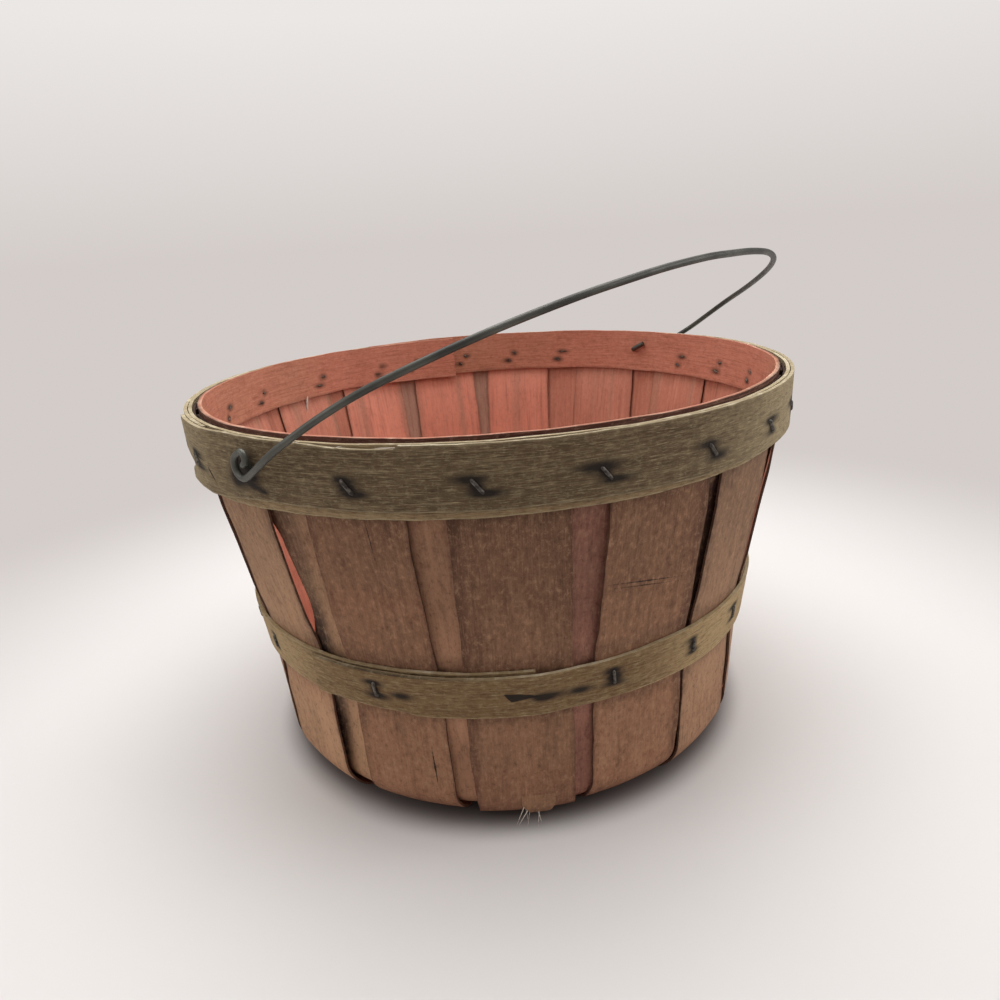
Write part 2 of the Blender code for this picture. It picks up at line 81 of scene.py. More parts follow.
# Finishes of the wood; a stave that has none of its own is brown outside and pink inside. The dark finish is
# painted shadow.
FINISH = {
    "brown": "#92694F", "dusky": "#8A644C", "tan": "#B38A69", "oak": "#A07A5D", "sheltered": "#BA8A6C",
    "ruddy": "#A87362", "dark": "#54382F",
    "pink": "#B77761", "rose": "#DC927A", "salmon": "#C1806A", "faded": "#AE8A77",
}
OUTSIDE = {
    (0, 0, 1): "tan", (0, 2, 1): "dusky", (0, 4, 1): "oak", (0, 5, 1): "oak", (1, 2, -1): "tan",
    # The inner stave (1, 5, -1) shows only deep in the gap between two outer staves; its dark finish is
    # painted shadow
    (1, 3, -1): "sheltered", (1, 4, -1): "ruddy", (1, 5, -1): "dark",
}
INSIDE = {
    (1, 3, 1): "rose", (1, 4, 1): "rose", (1, 5, 1): "rose", (0, 1, -1): "salmon", (1, 2, 1): "salmon",
    (1, 6, 1): "salmon", (1, 7, 1): "salmon", (0, 2, -1): "faded", (0, 3, -1): "faded",
}


def colour(text):
    """Linear red, green, blue and alpha of an sRGB hex colour."""
    parts = [int(text[i:i + 2], 16) / 255 for i in (1, 3, 5)]
    return [c / 12.92 if c <= 0.04045 else ((c + 0.055) / 1.055) ** 2.4 for c in parts] + [1]


def rise(x, low, high):
    """Goes from 0 at low to 1 at high, with level ends."""
    t = np.clip((np.asarray(x, float) - low) / (high - low), 0, 1)
    return t * t * (3 - 2 * t)


def hill(x, middle, width):
    """Round hill of height 1 and of a half width."""
    return np.exp(-((np.asarray(x, float) - middle) / width) ** 2)


def wander(x, seed, wavelength):
    """Smooth uneven line, from about -1 to 1."""
    rng = np.random.default_rng(seed)
    total = 0
    for pace, share in ((1, 0.5), (2.3, 0.3), (4.9, 0.2)):
        phase = rng.uniform(0, 2 * math.pi)
        total = total + share * np.sin(2 * math.pi * pace * np.asarray(x, float) / wavelength + phase)
    return total


def dense(count):
    """Numbers from 0 to 1 that lie closer together towards the ends."""
    return 0.5 + 0.5 * np.sin(np.linspace(-0.5 * math.pi, 0.5 * math.pi, count))


def painted(shape, shade):
    """Grid of one colour."""
    return np.tile(colour(shade), (*shape, 1))


def tinted(grid, shade, amount):
    """Mixes a grid of colours towards one colour."""
    grid[:, :, :3] += (np.array(colour(shade)[:3]) - grid[:, :, :3]) * np.asarray(amount)[..., None]


def placed_in_scene(name, data):
    """New object in the scene."""
    made = bpy.data.objects.new(name, data)
    bpy.context.scene.collection.objects.link(made)
    return made


def feed(node, inputs):
    """Sets a node's inputs, or links them to other nodes' outputs."""
    for key, value in inputs.items():
        if isinstance(value, bpy.types.NodeSocket):
            node.id_data.links.new(value, node.inputs[key])
        else:
            node.inputs[key].default_value = value


def add(tree, kind, inputs=None, output=0, **settings):
    """Adds a node with its settings and inputs, and gives one of its outputs."""
    node = tree.nodes.new(kind)
    for key, value in settings.items():
        setattr(node, key, value)
    feed(node, inputs or {})
    return node.outputs[output]


def new_material(name):
    """Empty material, its node tree and its shader."""
    made = bpy.data.materials.new(name)
    made.use_nodes = True
    return made, made.node_tree, made.node_tree.nodes["Principled BSDF"]


def wood(name, dark, pale, streak=0.2, fibre=0.25, blotch=0.4, mottle=0.5, dirt_and_shade=0, stain="#1E1815",
         streak_mm=(2.2, 60), fibre_mm=(0.6, 9), roughness=0.75, relief=0.3, splits=()):
    """Old wood: the colour painted on the points, under patterns of the grain.

    streak, fibre, blotch and mottle are how strongly each shows, dirt and shade how much of the dark lies
    over all.
    The painted alpha falls where iron has stained the wood. splits are dark cracks and scratches, each the
    corners of a convex outline on the grain map.
    """
    made, tree, shader = new_material(name)
    tint = add(tree, "ShaderNodeAttribute", attribute_name="tint")
    place = add(tree, "ShaderNodeUVMap", uv_map="grain")
    # Each pattern's size across and along the grain in mm, its detail and roughness, then what it shows: the
    # level of its noise at which that starts and is full, how strong it is, and its colour. Real fibres and
    # pores, 0.1 to 0.2 mm wide, are too fine to show and are drawn 0.4 to 0.6 mm wide.
    patterns = {
        "streaks": ((*streak_mm, 3, 0.6), (0.5, 0.72, 0.7 * streak, pale), (0.5, 0.28, streak, dark)),
        "fibres": ((*fibre_mm, 3, 0.65), (0.5, 0.74, 0.8 * fibre, pale), (0.5, 0.26, fibre, dark)),
        "blotches": ((12, 26, 5, 0.7), (0.5, 0.74, blotch, dark), (0.5, 0.26, 0.4 * blotch, pale)),
        "mottle": ((2.4, 3.6, 5, 0.8), (0.5, 0.7, mottle, dark), (0.5, 0.32, 0.7 * mottle, pale)),
        "pores": ((0.6, 3, 2, 0.5), (0.66, 0.76, mottle, dark)),
    }
    noise, coats = {}, [(dirt_and_shade, dark)]
    for number, (label, ((across, along, detail, rough), *shown)) in enumerate(patterns.items()):
        scaled = add(tree, "ShaderNodeMapping", {
            "Vector": place, "Location": (3.7 * number, 1.9 * number, 0),
            "Scale": (1 / (across * MM), 1 / (along * MM), 1)})
        noise[label] = add(tree, "ShaderNodeTexNoise", {
            "Vector": scaled, "Scale": 1, "Detail": detail, "Roughness": rough, "Distortion": 0.15})
        for first, full, strength, shade in shown:
            spread = {0: noise[label], 1: first, 2: full, 4: strength}
            coats.append((add(tree, "ShaderNodeMapRange", spread, interpolation_type="SMOOTHSTEP"), shade))
    # The stain creeps further along some fibres than along others
    soaked = add(tree, "ShaderNodeMath", {0: 1, 1: tint.node.outputs["Alpha"]}, operation="SUBTRACT")
    creep = add(tree, "ShaderNodeMath", {0: noise["fibres"], 1: noise["streaks"]}, operation="ADD")
    creep = add(tree, "ShaderNodeMath", {0: creep, 1: 0.6, 2: -0.6}, operation="MULTIPLY_ADD")
    reach = add(tree, "ShaderNodeMapRange", {0: soaked, 2: 0.25})
    patch = add(tree, "ShaderNodeMath", {0: creep, 1: reach, 2: soaked}, operation="MULTIPLY_ADD")
    coats.append((add(tree, "ShaderNodeMapRange", {0: patch, 1: 0.08, 2: 0.7, 4: 0.95}), stain))
    # A split is dark from a little inside its outline, which the mottle frays
    for corners in splits:
        inside = 1
        for first, edge in zip(corners, np.roll(corners, -1, axis=0) - corners):
            normal = np.array((-edge[1], edge[0])) / np.linalg.norm(edge)
            normal = normal * np.sign(np.dot(normal, corners.mean(axis=0) - first))
            depth = {0: place, 1: (*normal, 0)}
            depth = add(tree, "ShaderNodeVectorMath", depth, "Value", operation="DOT_PRODUCT")
            depth = {0: depth, 1: float(np.dot(normal, first))}
            depth = add(tree, "ShaderNodeMath", depth, operation="SUBTRACT")
            inside = add(tree, "ShaderNodeMath", {0: inside, 1: depth}, operation="MINIMUM")
        frayed = {0: noise["mottle"], 1: 0.8 * MM, 2: inside}
        frayed = add(tree, "ShaderNodeMath", frayed, operation="MULTIPLY_ADD")
        spread = {0: frayed, 1: 0.35 * MM, 2: 0.65 * MM, 4: 0.95}
        coats.append((add(tree, "ShaderNodeMapRange", spread), stain))
    base = tint
    for amount, shade in coats:
        base = add(tree, "ShaderNodeMix", {0: amount, 6: base, 7: colour(shade)}, 2, data_type="RGBA")
    height = {0: noise["fibres"], 1: 0.6, 2: noise["streaks"]}
    height = add(tree, "ShaderNodeMath", height, operation="MULTIPLY_ADD")
    lift = add(tree, "ShaderNodeBump", {"Height": height, "Strength": relief, "Distance": 0.4 * MM})
    feed(shader, {"Base Color": base, "Roughness": roughness, "Specular IOR Level": 0.22, "Normal": lift})
    return made


def strip(name, faces, uv, paint, materials):
    """Closed strip from the grids of points of its two faces, rows x columns x 3.

    uv is in metres across and along the grain, paint has the grids of colours, and materials are those of the
    two faces and of the cut edges.
    """
    rows, columns = uv.shape[:2]
    count = rows * columns
    index = np.arange(count).reshape(rows, columns)
    a, b = index[:-1, :-1].ravel(), index[:-1, 1:].ravel()
    c, d = index[1:, 1:].ravel(), index[1:, :-1].ravel()
    quads = [np.stack([a, b, c, d], 1), np.stack([d, c, b, a], 1) + count]
    slots = [np.zeros(len(a)), np.ones(len(a))]
    for line in (index[:, 0], index[::-1, -1], index[-1, :], index[0, ::-1]):
        quads.append(np.stack([line[:-1], line[1:], line[1:] + count, line[:-1] + count], 1))
        slots.append(np.full(len(line) - 1, 2))
    quads = np.concatenate(quads)
    points = np.concatenate([face.reshape(-1, 3) for face in faces])
    corners = points[quads[0]]
    normal = np.cross(corners[2] - corners[0], corners[3] - corners[1])
    if np.dot(normal, points[0] - points[count]) < 0:
        quads = quads[:, ::-1]
    mesh = bpy.data.meshes.new(name)
    mesh.from_pydata(points.tolist(), [], quads.tolist())
    for coat in materials:
        mesh.materials.append(coat)
    mesh.polygons.foreach_set("material_index", np.concatenate(slots).astype(np.int32))
    corner = np.zeros(len(mesh.loops), np.int32)
    mesh.loops.foreach_get("vertex_index", corner)
    flat = np.concatenate([uv.reshape(-1, 2)] * 2)[corner]
    mesh.uv_layers.new(name="grain").data.foreach_set("uv", flat.astype(np.float32).ravel())
    shades = np.concatenate([grid.reshape(-1, 4) for grid in paint])
    tint = mesh.attributes.new("tint", "FLOAT_COLOR", "POINT")
    tint.data.foreach_set("color", shades.astype(np.float32).ravel())
    mesh.shade_smooth()
    mesh.set_sharp_from_angle(angle=math.radians(40))
    return placed_in_scene(name, mesh)


def wall_radius(z):
    """Outside radius of the wall, flared from the heel to the top hoop."""
    t = np.clip((z - HEEL_RADIUS) / (GRIP_HEIGHT - HEEL_RADIUS), 0, 1)
    flare = (GRIP_RADIUS - FOOT_RADIUS) * t ** FLARE_POWER
    return FOOT_RADIUS + flare + GRIP_SLOPE * np.maximum(0, z - GRIP_HEIGHT)


def base_heights(name):
    """Distances from the middle and heights of a splint's underside in the base, from its CAD node."""
    heights = {}
    for vertex in frame["nodes"][name].data.vertices:
        radius = round(math.hypot(vertex.co.x, vertex.co.y), 4)
        if radius <= BASE_RADIUS + GAP:
            heights[radius] = min(heights.get(radius, 1), vertex.co.z)
    radii = sorted(heights)
    return np.array(radii), np.array([heights[radius] for radius in radii])


def flatness(z):
    """How flat a stave lies at a height: the hoops and the heel press it to the round."""
    low, high = (rise(z, a * MM, b * MM) * (1 - rise(z, c * MM, d * MM)) for a, b, c, d in FLAT_SPANS)
    return 0.2 + 0.65 * (low + high)


def stave_seed(key):
    """Seed of a stave's own unevenness; its grain map is shifted by it too."""
    layer, index, side = key
    return 40 * layer + 2 * index + (side > 0)


def stave_azimuth(key):
    """Azimuth in degrees of the middle of a stave."""
    layer, index, side = key
    return AZIMUTHS[layer][index] + (180 if side < 0 else 0)


def splint_lines(key):
    """Distances along a splint, with radius, height, inward normal and heading at each."""
    s = np.concatenate([np.linspace(0, BASE_RADIUS, BASE_STEPS, endpoint=False),
                        np.linspace(BASE_RADIUS, HEEL_END, HEEL_STEPS, endpoint=False),
                        HEEL_END + np.linspace(0, STAVE_TOP - HEEL_RADIUS, WALL_STEPS)])
    turn = np.clip((s - BASE_RADIUS) / HEEL_RADIUS, 0, 0.5 * math.pi)
    upright = s > HEEL_END
    z = np.where(upright, HEEL_RADIUS + s - HEEL_END, HEEL_RADIUS * (1 - np.cos(turn)))
    r = np.where(upright, wall_radius(z), np.minimum(s, BASE_RADIUS) + HEEL_RADIUS * np.sin(turn))
    slope = np.where(upright, np.gradient(r, s), 0)
    length = np.hypot(1, slope)
    nr = np.where(upright, -1 / length, -np.sin(turn))
    nz = np.where(upright, slope / length, np.cos(turn))
    lean = SPRUNG_LEAN * rise(s, BASE_RADIUS, BASE_RADIUS + 80 * MM) if key == SPRUNG else 0
    uneven = 0.15 * wander(s, stave_seed(key) + 7, 0.2) * rise(s, BASE_RADIUS, HEEL_END)
    return s, r, z, nr, nz, np.radians(stave_azimuth(key) + lean + uneven)


def stave_edges(key, s, z):
    """Offsets of the two long edges of a stave, uneven as it was sliced."""
    seed = stave_seed(key)
    edges = np.stack([0.4 * MM * wander(s, seed + k, 0.09) + 0.15 * MM * wander(s, seed + 20 + k, 0.02)
                      for k in (0, 1)])
    if key in WIDER:
        edge, extra = WIDER[key]
        edges[edge] += extra * MM * rise(s, BASE_RADIUS, HEEL_END + 20 * MM)
    if key == (0, 0, 1):
        # Bulges between the hoops
        edges[1] += 1.6 * MM * (hill(z, 88 * MM, 16 * MM) + hill(z, 145 * MM, 14 * MM))
    if key == SPRUNG:
        # Wider above the slit, in two steps, and below it
        above = 4.6 * rise(z, 106 * MM, 134 * MM) + 3.2 * rise(z, 134 * MM, 142 * MM)
        below = 5 * (1 - rise(z, 78 * MM, 102 * MM))
        edges[1] += (above + below - 1) * MM
    return edges


def stave_map(key, across, s):
    """Place on the grain map; each stave has its own part of it."""
    shift = stave_seed(key)
    return np.stack(np.broadcast_arrays(key[2] * across + 0.137 * shift, key[2] * s + 0.071 * shift), -1)


def stave_place(key, azimuth, height):
    """Place on the grain map of an azimuth and a height in mm on a stave."""
    turned = (np.asarray(azimuth) - stave_azimuth(key) + 180) % 360 - 180
    z = np.asarray(height) * MM
    return stave_map(key, key[2] * np.radians(turned) * wall_radius(z), HEEL_END + z - HEEL_RADIUS)


def paint_stave(key, s, z, across, face):
    """Colours of one face: dirt and painted shade along the edges and by the hoops, painted shade higher up,
    dye left where it was sheltered.
    """
    seed = stave_seed(key)
    shade = (OUTSIDE, INSIDE)[face].get(key, ("brown", "pink")[face])
    grid = painted(across.shape, FINISH[shade])
    rng = np.random.default_rng(seed + 50)
    u = across / SPLINT_WIDTH
    edge = rise(np.abs(u), 0.42, 0.5)
    low = 1 - rise(z, 0, 26 * MM)
    tone = 1 + 0.06 * wander(u, seed + 3, 0.9) + 0.05 * wander(s, seed + 5, 0.13)[:, None]
    # Darker towards the edges, partly dirt and partly painted shade, darkest in a thin painted shadow line
    # right at each edge
    tone = tone * (1 + 0.02 * rng.normal(size=(1, across.shape[1]))) * (1 - 0.2 * edge)
    tone = tone * (1 - 0.3 * rise(np.abs(u), 0.48, 0.5))
    if face == 0:
        # Dirt and painted shade beside the hoops
        beside = sum(hill(z, middle * MM, width * MM) for middle, width in DIRT_AND_SHADE_LINES)
        # Painted shade: darker the higher up it is, as far as the top hoop
        dusky = 0.36 * rise(z, 40 * MM, 145 * MM)
        tone = tone * ((1 - 0.3 * beside) * (1 - dusky) * (1 - 0.05 * low))[:, None]
        grid[:, :, :3] *= tone[:, :, None]
        kept = 0.10 * edge + 0.35 * low[:, None] + 0.2 * rise(wander(s, seed + 11, 0.17), 0.4, 0.9)[:, None]
        tinted(grid, "#93503F", 0.7 * np.clip(kept, 0, 0.5))
        if key == SPRUNG:
            # Painted shadow where its neighbour stands off it
            deep = 0.95 - 0.45 * rise(z, 88 * MM, 120 * MM)
            tinted(grid, "#261B18", rise(u, 0.25, 0.42) * deep[:, None])
    else:
        # Under the band the dye was never rubbed, lower down it has gone grey brown in strips. Just below the
        # band a painted shade darkens it.
        grid[:, :, :3] *= (tone * (1 - 0.25 * hill(z, 154 * MM, 4 * MM))[:, None])[:, :, None]
        tinted(grid, "#9A7964", 0.5 * rise(wander(u, seed + 13, 0.8), 0.25, 0.8))
    # Painted shade, nearly black, down between the hoop and the band
    grid[:, :, :3] *= (1 - 0.8 * rise(z, 160 * MM, 170 * MM))[:, None, None]
    return grid


def splint_half(key, table):
    """Faces, UV and colours of one half of a splint."""
    layer, index, side = key
    s, r, z, nr, nz, heading = splint_lines(key)
    share = dense(COLUMNS)
    first, second = stave_edges(key, s, z)
    across = (share - 0.5) * SPLINT_WIDTH + first[:, None] * (1 - share) + second[:, None] * share
    extra = max(0, float(np.interp(BASE_RADIUS, *table)) - layer * LAYER)
    depth = layer * LAYER + extra * (1 - rise(s, MERGE_START, MERGE_END))
    flat = flatness(z) * rise(s, BASE_RADIUS, HEEL_END)
    sagitta = across ** 2 / (2 * np.maximum(r, BASE_RADIUS))[:, None]
    lift = (sagitta - layer * sagitta.max(axis=1, keepdims=True)) * flat[:, None]
    lift = lift + (0.25 * MM * (1 - layer) * wander(s, stave_seed(key) + 9, 0.12) * flat)[:, None]
    in_base = (s <= BASE_RADIUS)[:, None]
    faces = []
    for level in (0, SPLINT_THICKNESS):
        radius = np.where(in_base, np.hypot(s[:, None], across), (r + nr * (depth + level))[:, None] + lift)
        turned = np.where(in_base, np.arctan2(across, np.maximum(s, 1e-9)[:, None]),
                          np.arcsin(across / np.maximum(radius, 0.5 * BASE_RADIUS)))
        height = np.where(in_base, np.interp(radius, *table) + level, (z + nz * (depth + level))[:, None])
        angle = heading[:, None] + side * turned
        faces.append(np.stack([radius * np.cos(angle), radius * np.sin(angle), height], 2))
    paint = [paint_stave(key, s, z, across, face) for face in (0, 1)]
    return faces, stave_map(key, across, s[:, None]), paint


def build_splint(layer, index):
    """One splint from rim to rim, in place of its CAD node."""
    node = ("outer_splint_%d", "inner_splint_%d")[layer] % (index + 1)
    table = base_heights(node)
    near = splint_half((layer, index, -1), table)
    far = splint_half((layer, index, 1), table)
    faces, paint = ([np.concatenate([near[part][k][:0:-1], far[part][k]]) for k in (0, 1)] for part in (0, 2))
    uv = np.concatenate([near[1][:0:-1], far[1]])
    made = strip("wood_" + node, faces, uv, paint, (stave_outside, stave_inside, stave_edge))
    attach(made, "basket")
    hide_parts(node)


def slit(first, last, width):
    """Outline of a crack or scratch between two places on the grain map, pointed at both ends."""
    along = last - first
    side = np.array((along[1], -along[0])) / np.linalg.norm(along) * 0.5 * width * MM
    middle = 0.5 * (first + last)
    return np.array((first, middle + side, last, middle - side))


# Two scratches across the fourth stave, a crack at each end of the second: stave, azimuth and height in mm of
# both ends, width in mm
SCRATCHES = (
    ((0, 3, 1), (-74.8, 116.1), (-56.2, 109.2), 0.8), ((0, 3, 1), (-74.2, 114.1), (-57.2, 107.6), 0.65),
    ((0, 1, 1), (-106.1, 44), (-105.8, 19), 1.2), ((0, 1, 1), (-110.1, 150), (-109.8, 131), 0.8),
)
scratched = [slit(stave_place(key, *first), stave_place(key, *last), width)
             for key, first, last, width in SCRATCHES]
# Sliced hardwood outside: its dye has weathered to a mottled brown, with soft streaks and dark pores
stave_outside = wood("weathered dyed splint wood", "#3A2218", "#BC9474", splits=scratched)
# The same wood inside, where the pink dye is still there
stave_inside = wood("dyed splint wood", "#84483A", "#D8A28A", 0.3, 0.2, 0.25, 0.25, relief=0.15)
# Cut edge of a splint: rough, and nearly black with dirt and painted shade of the narrow gaps where staves
# overlap
stave_edge = wood("cut edge of splint wood", "#241912", "#7A604C", 0.5, 0.5, 0.4, 0.5, dirt_and_shade=0.55)

for layer in (0, 1):
    for index in range(len(AZIMUTHS[layer])):
        build_splint(layer, index)

# A flake torn off the heel of the third stave in front. It stands straight down where the stave bends under,
# and its top row of points lies inside the stave. Sizes in mm, azimuths in degrees.
FLAKE_STAVE = (0, 2, 1)
FLAKE_TOP, FLAKE_FOOT, FLAKE_THICKNESS, FLAKE_PROUD, FLAKE_BURIED = 17, 8.2, 0.4, 0.1, 0.45
FLAKE_START, FLAKE_SPREAD = -89.3, 6.8
FLAKE_FLATNESS = 0.6
share = dense(17)
torn_low = FLAKE_FOOT + 3.6 * (1 - rise(share, 0, 0.22)) + 3.2 * rise(share, 0.82, 1)
torn_low = torn_low + 0.3 * wander(share, 15, 0.3)
flake_z = FLAKE_TOP + (torn_low - FLAKE_TOP) * np.linspace(0, 1, 13)[:, None]
flake_azimuth = FLAKE_START + FLAKE_SPREAD * share
angle = np.radians(flake_azimuth)
from_middle = np.radians(flake_azimuth - stave_azimuth(FLAKE_STAVE)) * FOOT_RADIUS
bulge = FLAKE_FLATNESS * from_middle ** 2 / (2 * FOOT_RADIUS)
proud = FLAKE_PROUD * rise(FLAKE_TOP - flake_z, 0, 4) - FLAKE_BURIED * (flake_z > FLAKE_TOP - 0.1)
flake_faces = []
for depth in (0, FLAKE_THICKNESS):
    radius = FOOT_RADIUS + bulge + (proud - depth) * MM
    flake_faces.append(np.stack([radius * np.cos(angle), radius * np.sin(angle), flake_z * MM], 2))
flake_paint = painted(flake_z.shape, "#8E684F")
flake_paint[:, :, :3] *= (1 - 0.3 * rise(flake_z, 13, 8))[:, :, None]
flake = strip("wood_heel_flake", flake_faces, stave_place(FLAKE_STAVE, flake_azimuth, flake_z),
              [flake_paint, flake_paint], (stave_outside, stave_outside, stave_edge))
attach(flake, "basket")

# Inner band
# A sawn strip, 24 x 1.7 mm, bent inside the tops of the staves and lapped at the back left. Dyed pink like
# the staves, pale on its top edge where the dye has rubbed off, with dark spots where staples come through.
PLY_THICKNESS = 1.5 * MM
BAND_THICKNESS = 1.7 * MM
BAND_DEPTH = LAYER + SPLINT_THICKNESS + GAP
LAP_RAMP = 8
BROKEN_RUN = 16
BAND_SEED = 15
STAPLE_REACH = 3.2 * MM
LEGS = (STAPLE_REACH, -STAPLE_REACH)
MIDDLE = (0,)
TOP_STAPLES = [name for name in frame["nodes"] if name.startswith("top_hoop_staple")]


def node_middle(name):
    """Middle of a CAD node, and the way up in which it is longest."""
    points = np.array([vertex.co for vertex in frame["nodes"][name].data.vertices])
    middle = points.mean(axis=0)
    direction = np.linalg.svd(points - middle)[2][0]
    return middle, direction * np.sign(direction[2])


def places_on(names, reaches):
    """Azimuths in degrees and heights of places on staples, at distances from the middle of each."""
    places = []
    for name in names:
        middle, direction = node_middle(name)
        places += [middle + direction * reach for reach in reaches]
    places = np.array(places)
    return np.degrees(np.arctan2(places[:, 1], places[:, 0])), places[:, 2]


def soaked_in(azimuth, z, radius, marks):
    """How far iron has stained the wood at each point, drawn out along the grain.

    marks has some places, the length and height in mm of a spot, and a seed that makes each unlike.
    """
    deepest = 0
    for places, length, height, seed in marks:
        rng = np.random.default_rng(seed)
        stain = np.zeros(np.broadcast(azimuth, z).shape)
        for place, level in zip(*places):
            along = np.radians((azimuth - place + 180) % 360 - 180) * radius
            size = rng.uniform(0.5, 1.5, 4)
            tail = np.where(along > 0, size[0], size[1]) * (length * MM)
            tall = (0.6 + 0.4 * size[3]) * (height * MM)
            spot = (0.55 + 0.35 * size[2]) * hill(along, 0, tail) * hill(z, level, tall)
            stain = 1 - (1 - stain) * (1 - np.minimum(spot, 1))
        deepest = np.maximum(deepest, stain)
    return deepest


def hoop(name, node, seed, ends, edges, seat, thickness, paint, materials, torn=np.zeros_like):
    """Strip bent once round, in place of a CAD node.

    ends has its first azimuth, its lap in degrees, the direction it runs in and whether the lap is outside;
    edges gives its bottom and top at each azimuth, seat a radius by height with how far outside that its face
    is, paint its colours, and torn how far its last end reaches on.
    """
    start, lap, direction, lap_outside = ends
    round_radius, outside = seat
    length = 360 + lap
    along = np.linspace(0, length, int(length / 0.6))
    low, high = edges(start + direction * along, along)
    share = dense(29)
    z = low[:, None] + (high - low)[:, None] * share
    along = along[:, None] + rise(along, length - BROKEN_RUN, length)[:, None] * torn(share)
    azimuth = start + direction * along
    # It moves off its seat to pass over or under its own other end
    step = (thickness + GAP) * (lap > 0)
    shift = step * (rise(along, 360 - LAP_RAMP, 360) if lap_outside else rise(along, lap, lap + LAP_RAMP) - 1)
    shift = shift + 0.12 * MM * wander(along, seed, 55)
    faces = []
    for depth in (0, thickness):
        radius = round_radius(z) + outside + shift - depth
        angle = np.radians(azimuth)
        faces.append(np.stack([radius * np.cos(angle), radius * np.sin(angle), z], 2))
    uv = np.stack([z, np.radians(along) * RIM_RADIUS + 0.31 * seed], 2)
    made = strip(name, faces, uv, [paint(azimuth, z, share, face) for face in (0, 1)], materials)
    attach(made, "basket")
    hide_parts(node)


def band_edges(azimuth, along):
    """Bottom and top of the band: sawn unevenly, one end set lower."""
    droop = 1.6 * MM * (1 - rise(along, 0, 40))
    low = GRIP_HEIGHT + 0.35 * MM * wander(along, 31, 60) - droop
    return low, HEIGHT + 0.25 * MM * wander(along, 32, 45) - 0.4 * droop


def paint_band(azimuth, z, share, face):
    """Pink, browner in places, darkened behind with painted shade, stained inside round the points of the
    staples.
    """
    grid = painted(z.shape, "#C07D66")
    tinted(grid, "#AE7F63", 0.6 * rise(wander(azimuth, 41, 140), -0.4, 0.8))
    if face == 0:
        # Painted shade on its outer face, down in the groove against the staves
        tinted(grid, "#1E1310", 0.85)
    else:
        grid[:, :, :3] *= (1 - 0.3 * (1 - rise(share, 0, 0.06)))[None, :, None]
        marks = ((places_on(TOP_STAPLES, LEGS), 3.2, 1.9, 6),)
        grid[:, :, 3] = 1 - 0.75 * soaked_in(azimuth, z, RIM_RADIUS, marks)
    return grid


# Dyed sawn hardwood of the band: closer grained and duller than the splints
band_wood = wood("dyed band wood", "#7A4435", "#D6A088", 0.3, 0.4, 0.3, 0.35, stain="#332A22",
                 streak_mm=(1.2, 40), relief=0.2)
# Its bare sawn edge, where the dye has rubbed off
band_edge = wood("rubbed edge of the band", "#C8866C", "#FFDCC0", 0.5, 0.3, 0.3, 0.2, stain="#6E4A38")
hoop("wood_inner_band", "top_inner_band", BAND_SEED, (99.5, 24, 1, False), band_edges,
     (wall_radius, -BAND_DEPTH), BAND_THICKNESS, paint_band, (band_wood, band_wood, band_edge))

# Top hoop
# Two strips of undyed wood, 23.5 and up to 27 x 1.5 mm, bent one over the other round the stave tops. The
# outer one has lost a splinter from its top edge, is broken at its lapped end and is stained by its staples.
HOOP_TOP = HEIGHT - 1 * MM
OUTER_PLY_HEIGHT = 23.5 * MM
UNDER_PLY_TOP = HEIGHT - 0.9 * MM
UNDER_PLY_HEIGHT = 22.6 * MM
UNDER_PLY_EXTRA = 4.5 * MM
UNDER_PLY_WIDEST = -115
HOOP_LAP = 10
PLY_START = -142
PLY_SEED = 14
SPLINTER_RUN = (-121, -103.2)
SPLINTER_DEPTH = 1.3 * MM
# Azimuths and heights of the dirt and painted shadow round the near ear, and of streaks that run from it
EAR_STAINS_AND_SHADOW = ((-131.2, -129.3, -132.6), (166 * MM, 162.5 * MM, 160.5 * MM))
EAR_STREAKS = ((-128.6, -126.2), (158.4 * MM, 157.2 * MM))
# The azimuth of the middle of the part in front darkened with painted shade, and its reach to each side
TOP_SHADED_FRONT = (-95, 63)


def hoop_radius(z):
    """Outside radius of the outer ply."""
    return RIM_RADIUS - GRIP_SLOPE * (HOOP_TOP - z)


def outer_ply_edges(azimuth, along):
    """Bottom and top of the outer ply: a splinter gone from its top, its broken end hanging lower."""
    around = (azimuth + 180) % 360 - 180
    first, last = SPLINTER_RUN
    missing = rise(around, first, first + 13) * (1 - rise(around, last, last + 0.5))
    rough = 0.2 * MM * wander(along, 61, 70) + 0.1 * MM * wander(along, 63, 6)
    low = HOOP_TOP - OUTER_PLY_HEIGHT + 0.3 * MM * wander(along, 62, 80) + 0.1 * MM * wander(along, 64, 5)
    sprung = 3.4 * MM * rise(along, 342, 358)
    return low - sprung, HOOP_TOP + rough - SPLINTER_DEPTH * missing


def under_ply_edges(azimuth, along):
    """Bottom and top of the under ply, which is wider in front and below the near ear."""
    extra = 0.5 * UNDER_PLY_EXTRA * (1 + np.cos(np.radians(azimuth - UNDER_PLY_WIDEST)))
    extra = extra + 2.6 * MM * hill(azimuth % 360, 218, 17)
    top = UNDER_PLY_TOP + 0.25 * MM * wander(along, 71, 50)
    return top - UNDER_PLY_HEIGHT - extra + 0.15 * MM * wander(along, 72, 9), top


def broken_end(share):
    """Degrees further on that the outer ply's end reaches: it broke across in steps."""
    upper = 4.5 * rise(share, 0.40, 0.43) - 1.5 * rise(share, 0.9, 1)
    notch = -3 * rise(share, 0.22, 0.25) * (1 - rise(share, 0.33, 0.40))
    return upper + notch + 1 * (1 - rise(share, 0, 0.2)) + 0.3 * wander(share, 77, 0.2)


